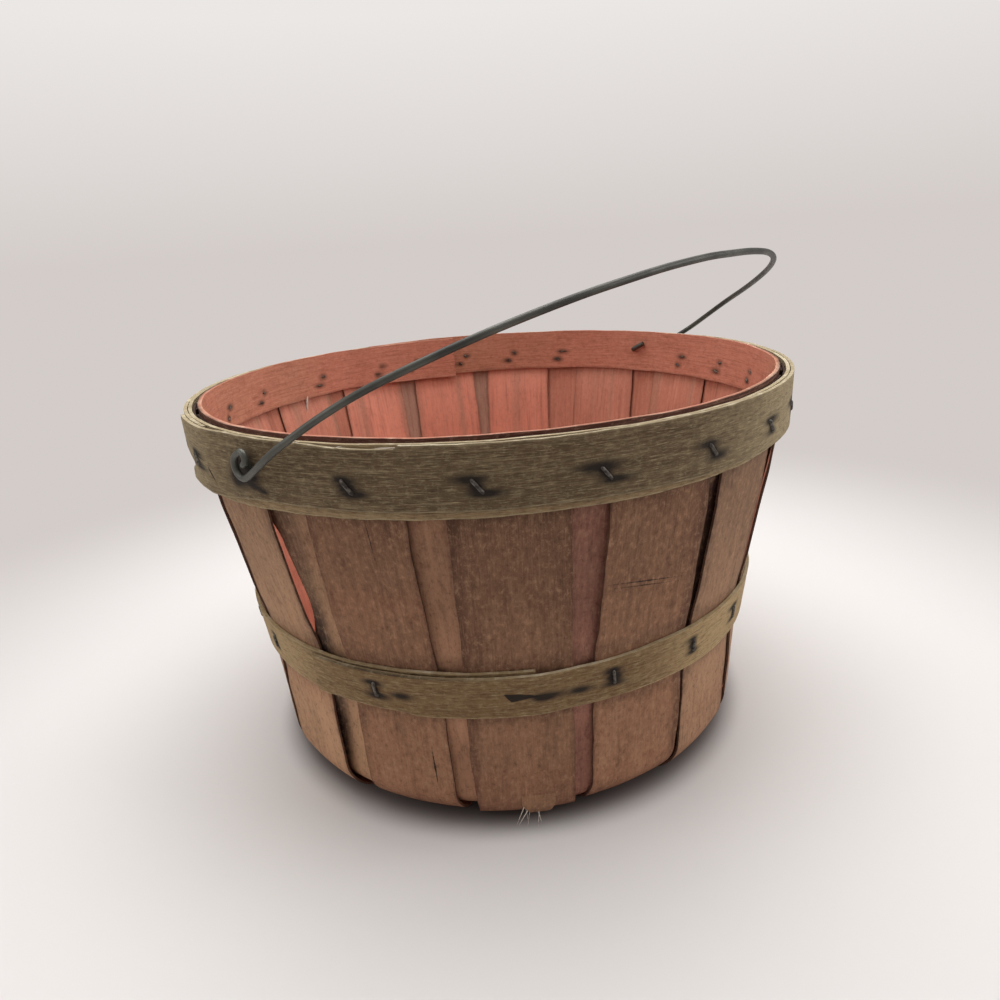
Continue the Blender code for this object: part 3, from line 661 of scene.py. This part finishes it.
def paint_hoop(azimuth, z, share, shades, front):
    """Main colour, darker in front with painted shade, in bands, pale at its edges."""
    main, dark, pale = shades
    grid = painted(z.shape, main)
    middle, reach = front
    around = np.abs((azimuth - middle + 180) % 360 - 180)
    bands = 0.5 + 0.5 * wander(z, 82, 9 * MM) * np.cos(np.radians(azimuth * 1.7))
    tinted(grid, dark, 0.8 * (1 - rise(around, 0.5 * reach, reach)) + 0.15 * bands)
    rubbed = 1 - rise(np.minimum(share, 1 - share), 0, 0.03)
    tinted(grid, pale, 0.5 * rubbed[None, :])
    return grid


def paint_outer_ply(azimuth, z, share, face):
    """Hoop colours, with the stains of the top staples, and the stains and painted shadow round the near ear.
    """
    grid = paint_hoop(azimuth, z, share, ("#9A896A", "#53402D", "#A7997A"), TOP_SHADED_FRONT)
    if face == 0:
        marks = ((places_on(TOP_STAPLES, LEGS), 7, 1.8, 83), (places_on(TOP_STAPLES, MIDDLE), 3, 2.8, 84),
                 (EAR_STAINS_AND_SHADOW, 5, 4, 4), (EAR_STREAKS, 4, 1.3, 5))
        grid[:, :, 3] = 1 - soaked_in(azimuth, z, RIM_RADIUS, marks)
    return grid


def paint_under_ply(azimuth, z, share, face):
    """Hoop colours, with a painted shadow just below the outer ply's bottom edge."""
    grid = paint_hoop(azimuth, z, share, ("#9A896A", "#8E7456", "#A7997A"), TOP_SHADED_FRONT)
    tinted(grid, "#2A1F18", 0.7 * hill(z, HOOP_TOP - OUTER_PLY_HEIGHT, 0.8 * MM))
    return grid


def hoop_places(start, seed, places):
    """Places on the grain map of azimuths and heights in mm by the outer end of a hoop."""
    azimuth, height = np.array(places).T
    return np.stack([height * MM, np.radians(360 + start - azimuth) * RIM_RADIUS + 0.31 * seed], 1)


# Two cracks at the outer ply's broken end: one runs along it, the other from there down to its bottom edge
crack = hoop_places(PLY_START, PLY_SEED,
                    ((-149.2, 164.6), (-141.2, 163.4), (-141.6, 163), (-139.2, 155.6)))
# Bent undyed hardwood: grey brown, with fine parallel pores along it
HOOP_LOOK = dict(dark="#33261B", pale="#B2A37E", streak=0.35, fibre=0.6, blotch=0.2, mottle=0.35,
                 streak_mm=(0.9, 22), fibre_mm=(0.42, 5.5), roughness=0.8, relief=0.5)
hoop_wood = wood("weathered hoop wood", **HOOP_LOOK)
# Cut edge of hoop wood: cream where it has been rubbed
hoop_edge = wood("rubbed edge of the hoops", "#8C7E64", "#EFE5CC", 0.5, 0.4, 0.4, 0.3, stain="#4A4030")
# The outer ply's face, where its end is cracked
cracked_wood = wood("cracked weathered hoop wood", **HOOP_LOOK,
                    splits=[slit(crack[0], crack[1], 0.9), slit(crack[2], crack[3], 1.5)])

hoop("wood_under_ply", "top_hoop_under_ply", PLY_SEED, (25, -0.12, 1, True), under_ply_edges,
     (hoop_radius, -PLY_THICKNESS - GAP), PLY_THICKNESS, paint_under_ply, (hoop_wood, hoop_wood, hoop_edge))
hoop("wood_outer_ply", "top_hoop_outer_ply", PLY_SEED, (PLY_START, HOOP_LAP, -1, True), outer_ply_edges,
     (hoop_radius, 0), PLY_THICKNESS, paint_outer_ply, (cracked_wood, hoop_wood, hoop_edge),
     broken_end)

# Middle hoop
# One strip of the same wood, 20.5 x 1.5 mm, lapped for 43 degrees in front, where its outer end shows. Its
# lower edge is chipped there, and a wedge of it has split away beside a staple.
MIDDLE_TOP = 81.8 * MM
MIDDLE_HEIGHT = 20.5 * MM
MIDDLE_START = -85.5
MIDDLE_LAP = 43.3
MIDDLE_SEED = 16
MIDDLE_STAPLES = [name for name in frame["nodes"] if name.startswith("middle_hoop_staple")]
# Azimuths and heights of smears of rust
SMEARS = ((-109.6, -84.6, -77.5), (70.2 * MM, 69.8 * MM, 69.2 * MM))


def middle_edges(azimuth, along):
    """Bottom and top of the middle hoop: the outer end lower, with its lower edge chipped."""
    around = (azimuth + 180) % 360 - 180
    outer = rise(along, 330, 352)
    top = MIDDLE_TOP + 0.3 * MM * wander(along, 101, 60) - 1.3 * MM * outer
    top = top + 0.1 * MM * wander(along, 102, 7)
    low = MIDDLE_TOP - MIDDLE_HEIGHT + 0.3 * MM * wander(along, 103, 70)
    low = low + 0.12 * MM * wander(along, 104, 6)
    chips = rise(around, -127, -123) * (1 - rise(around, -109, -107.5)) * outer
    return low + chips * MM, top


def middle_end(share):
    """Degrees further on that the outer end reaches: it is cut slantwise."""
    return 1.2 * (1 - share) + 0.25 * wander(share, 107, 0.4)


def paint_middle(azimuth, z, share, face):
    """Hoop colours, yellower, with smears of rust beside the staples in front."""
    # Painted shade darkens it in front, as on the top hoop
    grid = paint_hoop(azimuth, z, share, ("#A98E66", "#6B4F33", "#B5A27D"), (-94, 50))
    if face == 0:
        # Painted shade in the gap between the two ends of the lap
        gap = hill(z, MIDDLE_TOP - 1.3 * MM, 0.6 * MM) * hill(azimuth % 360, 246, 18)
        tinted(grid, "#1E1610", 0.9 * gap)
        marks = ((places_on(MIDDLE_STAPLES, LEGS), 4, 1.7, 110),
                 (places_on(MIDDLE_STAPLES, MIDDLE), 2.6, 3.2, 112), (SMEARS, 7, 1.7, 111))
        grid[:, :, 3] = 1 - soaked_in(azimuth, z, FOOT_RADIUS, marks)
    return grid


# The wedge that has split away beside a staple in front
wedge = hoop_places(MIDDLE_START, MIDDLE_SEED, ((-91.4, 73), (-88.4, 72.6), (-84.6, 70.8), (-90, 68.6)))
# The middle hoop's face
split_wood = wood("split weathered hoop wood", **HOOP_LOOK, splits=[wedge])
hoop("wood_middle_hoop", "middle_hoop", MIDDLE_SEED, (MIDDLE_START, MIDDLE_LAP, -1, True), middle_edges,
     (wall_radius, PLY_THICKNESS + GAP), PLY_THICKNESS, paint_middle, (split_wood, hoop_wood, hoop_edge),
     middle_end)

# Staples
# Bent pieces of flattened iron wire, driven through the hoops and staves with their points clenched inside.
# Rust has made them dark. They sit slantwise on the top hoop and upright on the middle one.
STAPLE_WIRE = 0.75 * MM
STAPLE_PROUD = 0.25 * MM
STAPLE = {"Half Crown": STAPLE_REACH - 0.5 * STAPLE_WIRE, "Foot": -1.7 * MM, "Bend": 0.55 * MM,
          "Wire": STAPLE_WIRE}
POINT = {"Half Crown": 1.1 * MM, "Foot": -0.5 * MM, "Bend": 0.4 * MM, "Wire": 0.45 * MM}
POINT_SLOPE = 0.9
UP = Vector((0, 0, 1))


def piece_tree(name, numbers):
    """Geometry Nodes tree for a source, sizes, a seed and a material, and its inputs."""
    tree = bpy.data.node_groups.new(name, "GeometryNodeTree")
    sockets = [("Source", "Geometry"), *((label, "Float") for label in numbers), ("Seed", "Int"),
               ("Coat", "Material")]
    for label, kind in sockets:
        tree.interface.new_socket(label, in_out="INPUT", socket_type="NodeSocket" + kind)
    tree.interface.new_socket("Pieces", in_out="OUTPUT", socket_type="NodeSocketGeometry")
    return tree, tree.nodes.new("NodeGroupInput").outputs


def finish_tree(tree, geometry, given):
    """Ends a tree with real geometry that has its material."""
    real = add(tree, "GeometryNodeRealizeInstances", {"Geometry": geometry})
    smooth = add(tree, "GeometryNodeSetShadeSmooth", {"Geometry": real})
    coated = add(tree, "GeometryNodeSetMaterial", {"Geometry": smooth, "Material": given["Coat"]})
    feed(tree.nodes.new("NodeGroupOutput"), {"Pieces": coated})


def set_on_places(tree, piece, size, given):
    """Sets a piece on each point of the source, turned by the point's "turn", and ends the tree."""
    turn = add(tree, "GeometryNodeInputNamedAttribute", {"Name": "turn"}, data_type="FLOAT_VECTOR")
    rotation = add(tree, "FunctionNodeEulerToRotation", {0: turn})
    placed = add(tree, "GeometryNodeInstanceOnPoints",
                 {"Points": given["Source"], "Instance": piece, "Rotation": rotation, "Scale": size})
    finish_tree(tree, placed, given)


def grow(name, source, tree, values):
    """Plain mesh that a tree makes of a source mesh, with the tree's inputs by name."""
    made = placed_in_scene(name, source)
    modifier = made.modifiers.new("grown", "NODES")
    modifier.node_group = tree
    for item in tree.interface.items_tree:
        if item.in_out == "INPUT" and item.name in values:
            modifier[item.identifier] = values[item.name]
    evaluated = made.evaluated_get(bpy.context.evaluated_depsgraph_get())
    mesh = bpy.data.meshes.new_from_object(evaluated)
    made.modifiers.remove(modifier)
    made.data = mesh
    mesh.set_sharp_from_angle(angle=math.radians(50))
    return made


def bent_wires():
    """Tree that sets a bent wire on each place: a crown with a leg at each end."""
    tree, given = piece_tree("bent wires", ("Half Crown", "Foot", "Bend", "Wire"))
    line = add(tree, "GeometryNodeCurvePrimitiveLine", {"Start": (-1, 0, 0), "End": (1, 0, 0)})
    corners = add(tree, "GeometryNodeResampleCurve", {"Curve": line, "Count": 4})
    # The four points are the foot of one leg, the two ends of the crown and the foot of the other leg
    number = add(tree, "GeometryNodeInputIndex")
    order = add(tree, "ShaderNodeMath", {0: number, 1: 1.5}, operation="SUBTRACT")
    side = add(tree, "ShaderNodeMath", {0: order}, operation="SIGN")
    x = add(tree, "ShaderNodeMath", {0: side, 1: given["Half Crown"]}, operation="MULTIPLY")
    distance = add(tree, "ShaderNodeMath", {0: order}, operation="ABSOLUTE")
    at_foot = add(tree, "ShaderNodeMath", {0: distance, 1: 1}, operation="GREATER_THAN")
    z = add(tree, "ShaderNodeMath", {0: at_foot, 1: given["Foot"]}, operation="MULTIPLY")
    place = add(tree, "ShaderNodeCombineXYZ", {"X": x, "Z": z})
    shaped = add(tree, "GeometryNodeSetPosition", {"Geometry": corners, "Position": place})
    bent = add(tree, "GeometryNodeFilletCurve", {"Curve": shaped, "Count": 4, "Radius": given["Bend"]},
               mode="POLY")
    section = add(tree, "GeometryNodeCurvePrimitiveCircle", {"Resolution": 8, "Radius": given["Wire"]})
    wire = add(tree, "GeometryNodeCurveToMesh", {"Curve": bent, "Profile Curve": section, "Fill Caps": True})
    size = add(tree, "FunctionNodeRandomValue", {2: 0.93, 3: 1.05, "Seed": given["Seed"]}, 1,
               data_type="FLOAT")
    set_on_places(tree, wire, size, given)
    return tree


def out_and_around(azimuth):
    """Level directions outwards and round the basket at an azimuth."""
    a = math.radians(azimuth)
    return Vector((math.cos(a), math.sin(a), 0)), Vector((-math.sin(a), math.cos(a), 0))


def turn_to(x, z):
    """Turn that lays a piece's x and z axes along two directions."""
    return Matrix((x, z.cross(x), z)).transposed().to_euler()


def point_mesh(name, points, turns):
    """Mesh of loose points, each with a turn."""
    mesh = bpy.data.meshes.new(name)
    mesh.from_pydata(points, [], [])
    flat = [angle for turn in turns for angle in turn]
    mesh.attributes.new("turn", "FLOAT_VECTOR", "POINT").data.foreach_set("vector", flat)
    return mesh


def staple_places(name, nodes):
    """One point for each staple, on the face of its hoop, turned as the staple lies."""
    points, turns = [], []
    for node in nodes:
        middle, direction = node_middle(node)
        crown = Vector(direction)
        outward = Vector((middle[0], middle[1], 0)).normalized()
        outward = (outward - crown * outward.dot(crown)).normalized()
        points.append(Vector(middle) + outward * STAPLE_PROUD)
        turns.append(turn_to(crown, outward))
    return point_mesh(name, points, turns)


def clenched_places(name, nodes):
    """One point for each leg's end inside the band, clenched this way or that."""
    rng = np.random.default_rng(9)
    points, turns = [], []
    for azimuth, height in zip(*places_on(nodes, LEGS)):
        outward, level = out_and_around(azimuth)
        radius = float(wall_radius(height)) - BAND_DEPTH - BAND_THICKNESS - 0.1 * MM
        slope = rng.uniform(-POINT_SLOPE, POINT_SLOPE)
        crown = level * math.cos(slope) + UP * math.sin(slope)
        points.append(outward * radius + UP * height)
        turns.append(turn_to(crown, -outward))
    return point_mesh(name, points, turns)


def metal(name, main, worn, roughness, metallic, spot_mm, relief):
    """Old wire: a dull coat, worn lighter in spots, slightly pitted."""
    made, tree, shader = new_material(name)
    place = add(tree, "ShaderNodeTexCoord", output="Object")
    spots = add(tree, "ShaderNodeTexNoise", {"Vector": place, "Scale": 1 / (spot_mm * MM), "Detail": 4})
    pits = add(tree, "ShaderNodeTexNoise", {"Vector": place, "Scale": 2.2 / MM, "Detail": 3})
    wear = add(tree, "ShaderNodeMapRange", {0: spots, 1: 0.4, 2: 0.72})
    base = add(tree, "ShaderNodeMix", {0: wear, 6: colour(main), 7: colour(worn)}, 2, data_type="RGBA")
    dull = {0: spots, 1: 0.35, 2: 0.7, 3: roughness + 0.05, 4: roughness - 0.05}
    dull = add(tree, "ShaderNodeMapRange", dull)
    lift = add(tree, "ShaderNodeBump", {"Height": pits, "Strength": relief, "Distance": 0.15 * MM})
    feed(shader, {"Base Color": base, "Metallic": metallic, "Roughness": dull, "Normal": lift})
    return made


def drive(name, source, shape, seed, nodes=()):
    """Bent wires on the points of a mesh, in place of some CAD nodes."""
    made = grow(name, source, bent_wire, {**shape, "Seed": seed, "Coat": iron})
    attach(made, "basket")
    if nodes:
        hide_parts(*nodes)


# Rusted iron wire: nearly black, with a grey shine along the crown
iron = metal("rusted staple iron", "#302925", "#7A7269", 0.5, 0.4, 1.6, 0.3)
bent_wire = bent_wires()
drive("iron_top_staples", staple_places("top staples", TOP_STAPLES), STAPLE, 7, TOP_STAPLES)
drive("iron_middle_staples", staple_places("middle staples", MIDDLE_STAPLES), STAPLE, 8, MIDDLE_STAPLES)
drive("iron_staple_points", clenched_places("staple points", TOP_STAPLES), POINT, 9)

# Torn fibres
# Where the wood has torn, thin splinters are left: below the heel flake, along the missing splinter of the
# top hoop, and inside, where two hang from under the band.
FIBRE_WIDTH = 0.16 * MM
# Seed, times the width, slot, and the roots: azimuth, height and radius, heading (around, out, up) and length
TORN = {
    "wood_heel_fibres": (4, 1, "outer_splint_wood", (
        (-89, 10.4, 121, (-0.45, 0.1, -1), 7.6), (-88.6, 9.6, 120.9, (0.1, 0.05, -1), 6.4),
        (-88.2, 9, 121, (-0.7, 0.2, -1), 6.8), (-87.8, 8.8, 121, (-0.2, 0.1, -1), 7),
        (-86.2, 8.6, 120.9, (0.2, 0.1, -1), 6.2), (-85.9, 8.6, 121, (-0.15, 0.2, -1), 6.8))),
    "wood_rim_fibres": (3, 1, "hoop_wood", (
        (-103.6, 176.6, 143.2, (-1, 0.15, 0.05), 5), (-119, 177.2, 143.3, (1, 0.2, 0.25), 4),
        (-112, 176.4, 143.4, (1, 0.25, 0.3), 3.5))),
    "wood_inside_sliver": (3, 4, "inner_splint_wood", (
        (145, 155, 136.6, (0.26, -0.05, -1), 13), (145.3, 154.4, 136.5, (0.2, -0.06, -1), 9))),
}


def split_fibres():
    """Tree that sets a thin pointed fibre on each place, as long as its "reach"."""
    tree, given = piece_tree("split fibres", ("Width",))
    bow = {"Resolution": 7, "Start": (0, 0, 0), "Middle": (1.4, 0.4, 0.5), "End": (0.2, -0.3, 1)}
    line = add(tree, "GeometryNodeCurveQuadraticBezier", bow)
    along = add(tree, "GeometryNodeSplineParameter")
    taper = add(tree, "ShaderNodeMapRange", {0: along, 3: 1, 4: 0.15})
    section = add(tree, "GeometryNodeCurvePrimitiveCircle", {"Resolution": 6, "Radius": 1})
    swept = {"Curve": line, "Profile Curve": section, "Scale": taper, "Fill Caps": True}
    fibre = add(tree, "GeometryNodeCurveToMesh", swept)
    reach = add(tree, "GeometryNodeInputNamedAttribute", {"Name": "reach"}, data_type="FLOAT")
    low = add(tree, "ShaderNodeMath", {0: given["Width"], 1: 0.7}, operation="MULTIPLY")
    high = add(tree, "ShaderNodeMath", {0: given["Width"], 1: 1.3}, operation="MULTIPLY")
    width = add(tree, "FunctionNodeRandomValue", {2: low, 3: high, "Seed": given["Seed"]}, 1,
                data_type="FLOAT")
    size = add(tree, "ShaderNodeCombineXYZ", {"X": width, "Y": width, "Z": reach})
    set_on_places(tree, fibre, size, given)
    return tree


def fibre_places(name, roots):
    """One point for each fibre, with its turn and its reach."""
    points, turns = [], []
    for azimuth, height, radius, heading, length in roots:
        out, around = out_and_around(azimuth)
        points.append((out * radius + UP * height) * MM)
        way = around * heading[0] + out * heading[1] + UP * heading[2]
        turns.append(way.to_track_quat("Z", "Y").to_euler())
    mesh = point_mesh(name, points, turns)
    reaches = [root[4] * MM for root in roots]
    mesh.attributes.new("reach", "FLOAT", "POINT").data.foreach_set("value", reaches)
    return mesh


# Freshly split wood: pale, fibrous, with a little dirt
raw_wood, tree, shader = new_material("raw split wood")
place = add(tree, "ShaderNodeTexCoord", output="Object")
dirty = add(tree, "ShaderNodeTexNoise", {"Vector": place, "Scale": 0.6 / MM, "Detail": 3})
dirty = add(tree, "ShaderNodeMapRange", {0: dirty, 1: 0.45, 2: 0.75})
base = add(tree, "ShaderNodeMix", {0: dirty, 6: colour("#CFC4B8"), 7: colour("#8D7A69")}, 2, data_type="RGBA")
feed(shader, {"Base Color": base, "Roughness": 0.9})
fibre_tree = split_fibres()
for name, (seed, widths, slot, roots) in TORN.items():
    torn = grow(name, fibre_places(name + " roots", roots), fibre_tree,
                {"Width": widths * FIBRE_WIDTH, "Seed": seed, "Coat": raw_wood})
    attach(torn, "basket")

# Bail
# One piece of 3 mm steel wire bent by hand into a lopsided arch. Each end is curled into an eye outside the
# rim, goes through it and is bent up inside. Its dull dark coat shines a little along the top.
WIRE_RADIUS = 1.5 * MM
WIRE_WORN = 0.15 * MM
BAIL_HEIGHT = 131 * MM
# Half span of the arch and how square its shoulder is, on each side
BAIL_SPANS = {-1: (151 * MM, 2), 1: (159 * MM, 2.4)}
BAIL_LEAN = math.radians(62.5)
ARCH_STEPS = 70
EAR_REACH = (RIM_RADIUS + 1.8 * MM + WIRE_RADIUS) * math.cos(math.radians(2.25))
EYE_RADIUS = 4.6 * MM
CLINCH_REACH = 133.57 * MM
CLINCH_LENGTH = 6.5 * MM
X, Y = Vector((1, 0, 0)), Vector((0, 1, 0))
JOINT = next(joint for joint in frame["joints"] if joint["name"] == "bail_swing")
AXIS = Vector(JOINT["axis"]).normalized()
BAIL_UP = UP * math.cos(BAIL_LEAN) + AXIS.cross(UP) * math.sin(BAIL_LEAN)
BAIL_FRAME = Matrix((AXIS, BAIL_UP.cross(AXIS), BAIL_UP)).transposed().to_4x4()
BAIL_FRAME.translation = Vector(JOINT["pos_m"])


def arc(centre, first, second, start, end, steps):
    """Points of an arc about a centre, with its two radii given as vectors."""
    angles = [math.radians(start + (end - start) * i / steps) for i in range(steps + 1)]
    return [centre + first * math.cos(a) + second * math.sin(a) for a in angles]


def eye_points(side):
    """Centre line of one end: the eye, the run through the rim and the clinch inside."""
    out = X * side
    eye = out * EAR_REACH
    bend = 0.5 * EYE_RADIUS
    ring = arc(eye, Y * EYE_RADIUS, UP * EYE_RADIUS, 180, 360, 16)
    over = arc(eye + (Y + UP) * bend, Y * bend, UP * bend, 0, 180, 12)
    inward = arc(eye + (UP - out) * bend, out * bend, UP * bend, 0, -90, 7)
    clinch = arc(out * (CLINCH_REACH + bend) + UP * bend, out * bend, UP * bend, -90, -180, 7)
    return ring + over[1:] + inward[1:] + clinch + [clinch[-1] + UP * CLINCH_LENGTH]


def arch_points(side):
    """Centre line of one half of the arch, from the crown down, slightly uneven."""
    span, power = BAIL_SPANS[side]
    points = []
    for i in range(ARCH_STEPS + 1):
        a = 0.49 * math.pi * i / ARCH_STEPS
        x = span * math.sin(a) ** (2 / power)
        z = BAIL_HEIGHT * math.cos(a) ** (2 / power)
        x = EAR_REACH + (x - EAR_REACH) * float(rise(z, 0, 34 * MM))
        kink = 0.12 * MM * float(wander(side * x, 201, 0.16) * rise(z, 10 * MM, 40 * MM))
        y = -EYE_RADIUS * (1 - float(rise(z, 0, 70 * MM)))
        points.append(Vector((side * x, y + kink, z + 0.6 * kink)))
    return points


def drawn_wire():
    """Tree that makes a round wire along a line of edges."""
    tree, given = piece_tree("drawn wire", ("Wire",))
    line = add(tree, "GeometryNodeMeshToCurve", {"Mesh": given["Source"]})
    section = add(tree, "GeometryNodeCurvePrimitiveCircle", {"Resolution": 18, "Radius": given["Wire"]})
    wire = add(tree, "GeometryNodeCurveToMesh", {"Curve": line, "Profile Curve": section, "Fill Caps": True})
    finish_tree(tree, wire, given)
    return tree


# Drawn steel wire under a dull oxide coat: dark grey green, with a soft shine along its top
steel = metal("dull oxidised bail steel", "#34332E", "#57564E", 0.45, 0.35, 18, 0.08)
near_end, far_end = (arch_points(side) + eye_points(side) for side in (-1, 1))
bail_line = [BAIL_FRAME @ point for point in near_end[:0:-1] + far_end]
line_mesh = bpy.data.meshes.new("bail line")
line_mesh.from_pydata(bail_line, [(i, i + 1) for i in range(len(bail_line) - 1)], [])
bail = grow("steel_bail", line_mesh, drawn_wire(), {"Wire": WIRE_RADIUS - WIRE_WORN, "Coat": steel})
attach(bail, "bail")
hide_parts("bail")

# Floor and light
# A pale floor that runs up into a pale backdrop, under a soft light from above that reaches a little from
# behind, with weaker ones at both sides. The tent is darker towards the floor.
FLOOR_COLOUR = "#DEDBD9"
# Colour of the painted shadow round the basket's foot
FOOT_SHADE = "#625956"
BACKDROP_LOW = "#D3CCC9"
BACKDROP_HIGH = "#EBE7E5"
# Distances in metres from the middle over which the painted foot shadow fades and the floor becomes backdrop
SHADOW_FADE_RUN = (0.111, 0.131)
BACKDROP_RUN = (0.17, 0.55)
FLOOR_HALF = 6.0
# Place of each lamp, its side in metres and its power in watts
LAMPS = {
    "overhead": ((0, 0.22, 1), 1, 10.5),
    "left": ((-1.8, -0.5, 1.05), 1.2, 10.5),
    "right": ((1.9, -0.2, 0.95), 1.2, 16.5),
}
AIM = Vector((0, 0, 0.1))

# Matt sheet with a painted shadow round the basket's foot, that shows the backdrop's own colour further off
sheet, tree, shader = new_material("pale tent floor")
place = add(tree, "ShaderNodeTexCoord", output="Object")
distance = add(tree, "ShaderNodeVectorMath", {0: place}, "Value", operation="LENGTH")
unshadowed, away = (add(tree, "ShaderNodeMapRange", {0: distance, 1: first, 2: last},
                   interpolation_type="SMOOTHSTEP") for first, last in (SHADOW_FADE_RUN, BACKDROP_RUN))
base = {0: unshadowed, 6: colour(FOOT_SHADE), 7: colour(FLOOR_COLOUR)}
base = add(tree, "ShaderNodeMix", base, 2, data_type="RGBA")
feed(shader, {"Base Color": base, "Roughness": 0.9})
glow = add(tree, "ShaderNodeEmission", {"Color": colour(BACKDROP_LOW), "Strength": 1})
both = add(tree, "ShaderNodeMixShader", {0: away, 1: shader.outputs[0], 2: glow})
feed(tree.nodes["Material Output"], {"Surface": both})
mesh = bpy.data.meshes.new("floor")
corners = [(x * FLOOR_HALF, y * FLOOR_HALF, 0) for x, y in ((-1, -1), (1, -1), (1, 1), (-1, 1))]
mesh.from_pydata(corners, [], [(0, 1, 2, 3)])
mesh.materials.append(sheet)
floor = placed_in_scene("floor", mesh)
floor.location.z = -0.1 * MM

for name, (place, size, power) in LAMPS.items():
    light = bpy.data.lights.new(name, "AREA")
    light.size = size
    light.energy = power
    lamp = placed_in_scene(name, light)
    lamp.location = place
    lamp.rotation_euler = (AIM - Vector(place)).to_track_quat("-Z", "Y").to_euler()

world = bpy.data.worlds.new("tent")
world.use_nodes = True
bpy.context.scene.world = world
tree = world.node_tree
seen = add(tree, "ShaderNodeLightPath", output="Is Camera Ray")
climb = add(tree, "ShaderNodeSeparateXYZ", {0: add(tree, "ShaderNodeTexCoord", output="Generated")}, "Z")
strength = add(tree, "ShaderNodeMapRange", {0: climb, 1: -0.1, 2: 0.8, 3: 0.2, 4: 0.7})
ambient = add(tree, "ShaderNodeBackground", {"Color": colour("#E9E5E3"), "Strength": strength})
height = add(tree, "ShaderNodeMapRange", {0: climb, 2: 0.24})
tent = {0: height, 6: colour(BACKDROP_LOW), 7: colour(BACKDROP_HIGH)}
tent = add(tree, "ShaderNodeMix", tent, 2, data_type="RGBA")
shown = add(tree, "ShaderNodeBackground", {"Color": tent, "Strength": 1})
both = add(tree, "ShaderNodeMixShader", {0: seen, 1: ambient, 2: shown})
feed(tree.nodes["World Output"], {"Surface": both})

# Camera
# A phone held 38 cm in front of the basket's middle, 6 cm above its rim, pointing down and turned a little.
PAN, PITCH, ROLL = math.radians(0.22), math.radians(19.25), math.radians(-3.94)
lens = bpy.data.cameras.new("phone")
lens.sensor_width = 36
lens.lens = 27
lens.clip_start = 0.02
camera = placed_in_scene("phone", lens)
panned = Matrix.Rotation(-PAN, 4, "Z")
tilted = Matrix.Rotation(0.5 * math.pi - PITCH, 4, "X")
rolled = Matrix.Rotation(ROLL, 4, "Z")
camera.matrix_world = Matrix.Translation((0, -0.3788, 0.2396)) @ panned @ tilted @ rolled
bpy.context.scene.camera = camera
bpy.context.scene.view_settings.view_transform = "Standard"
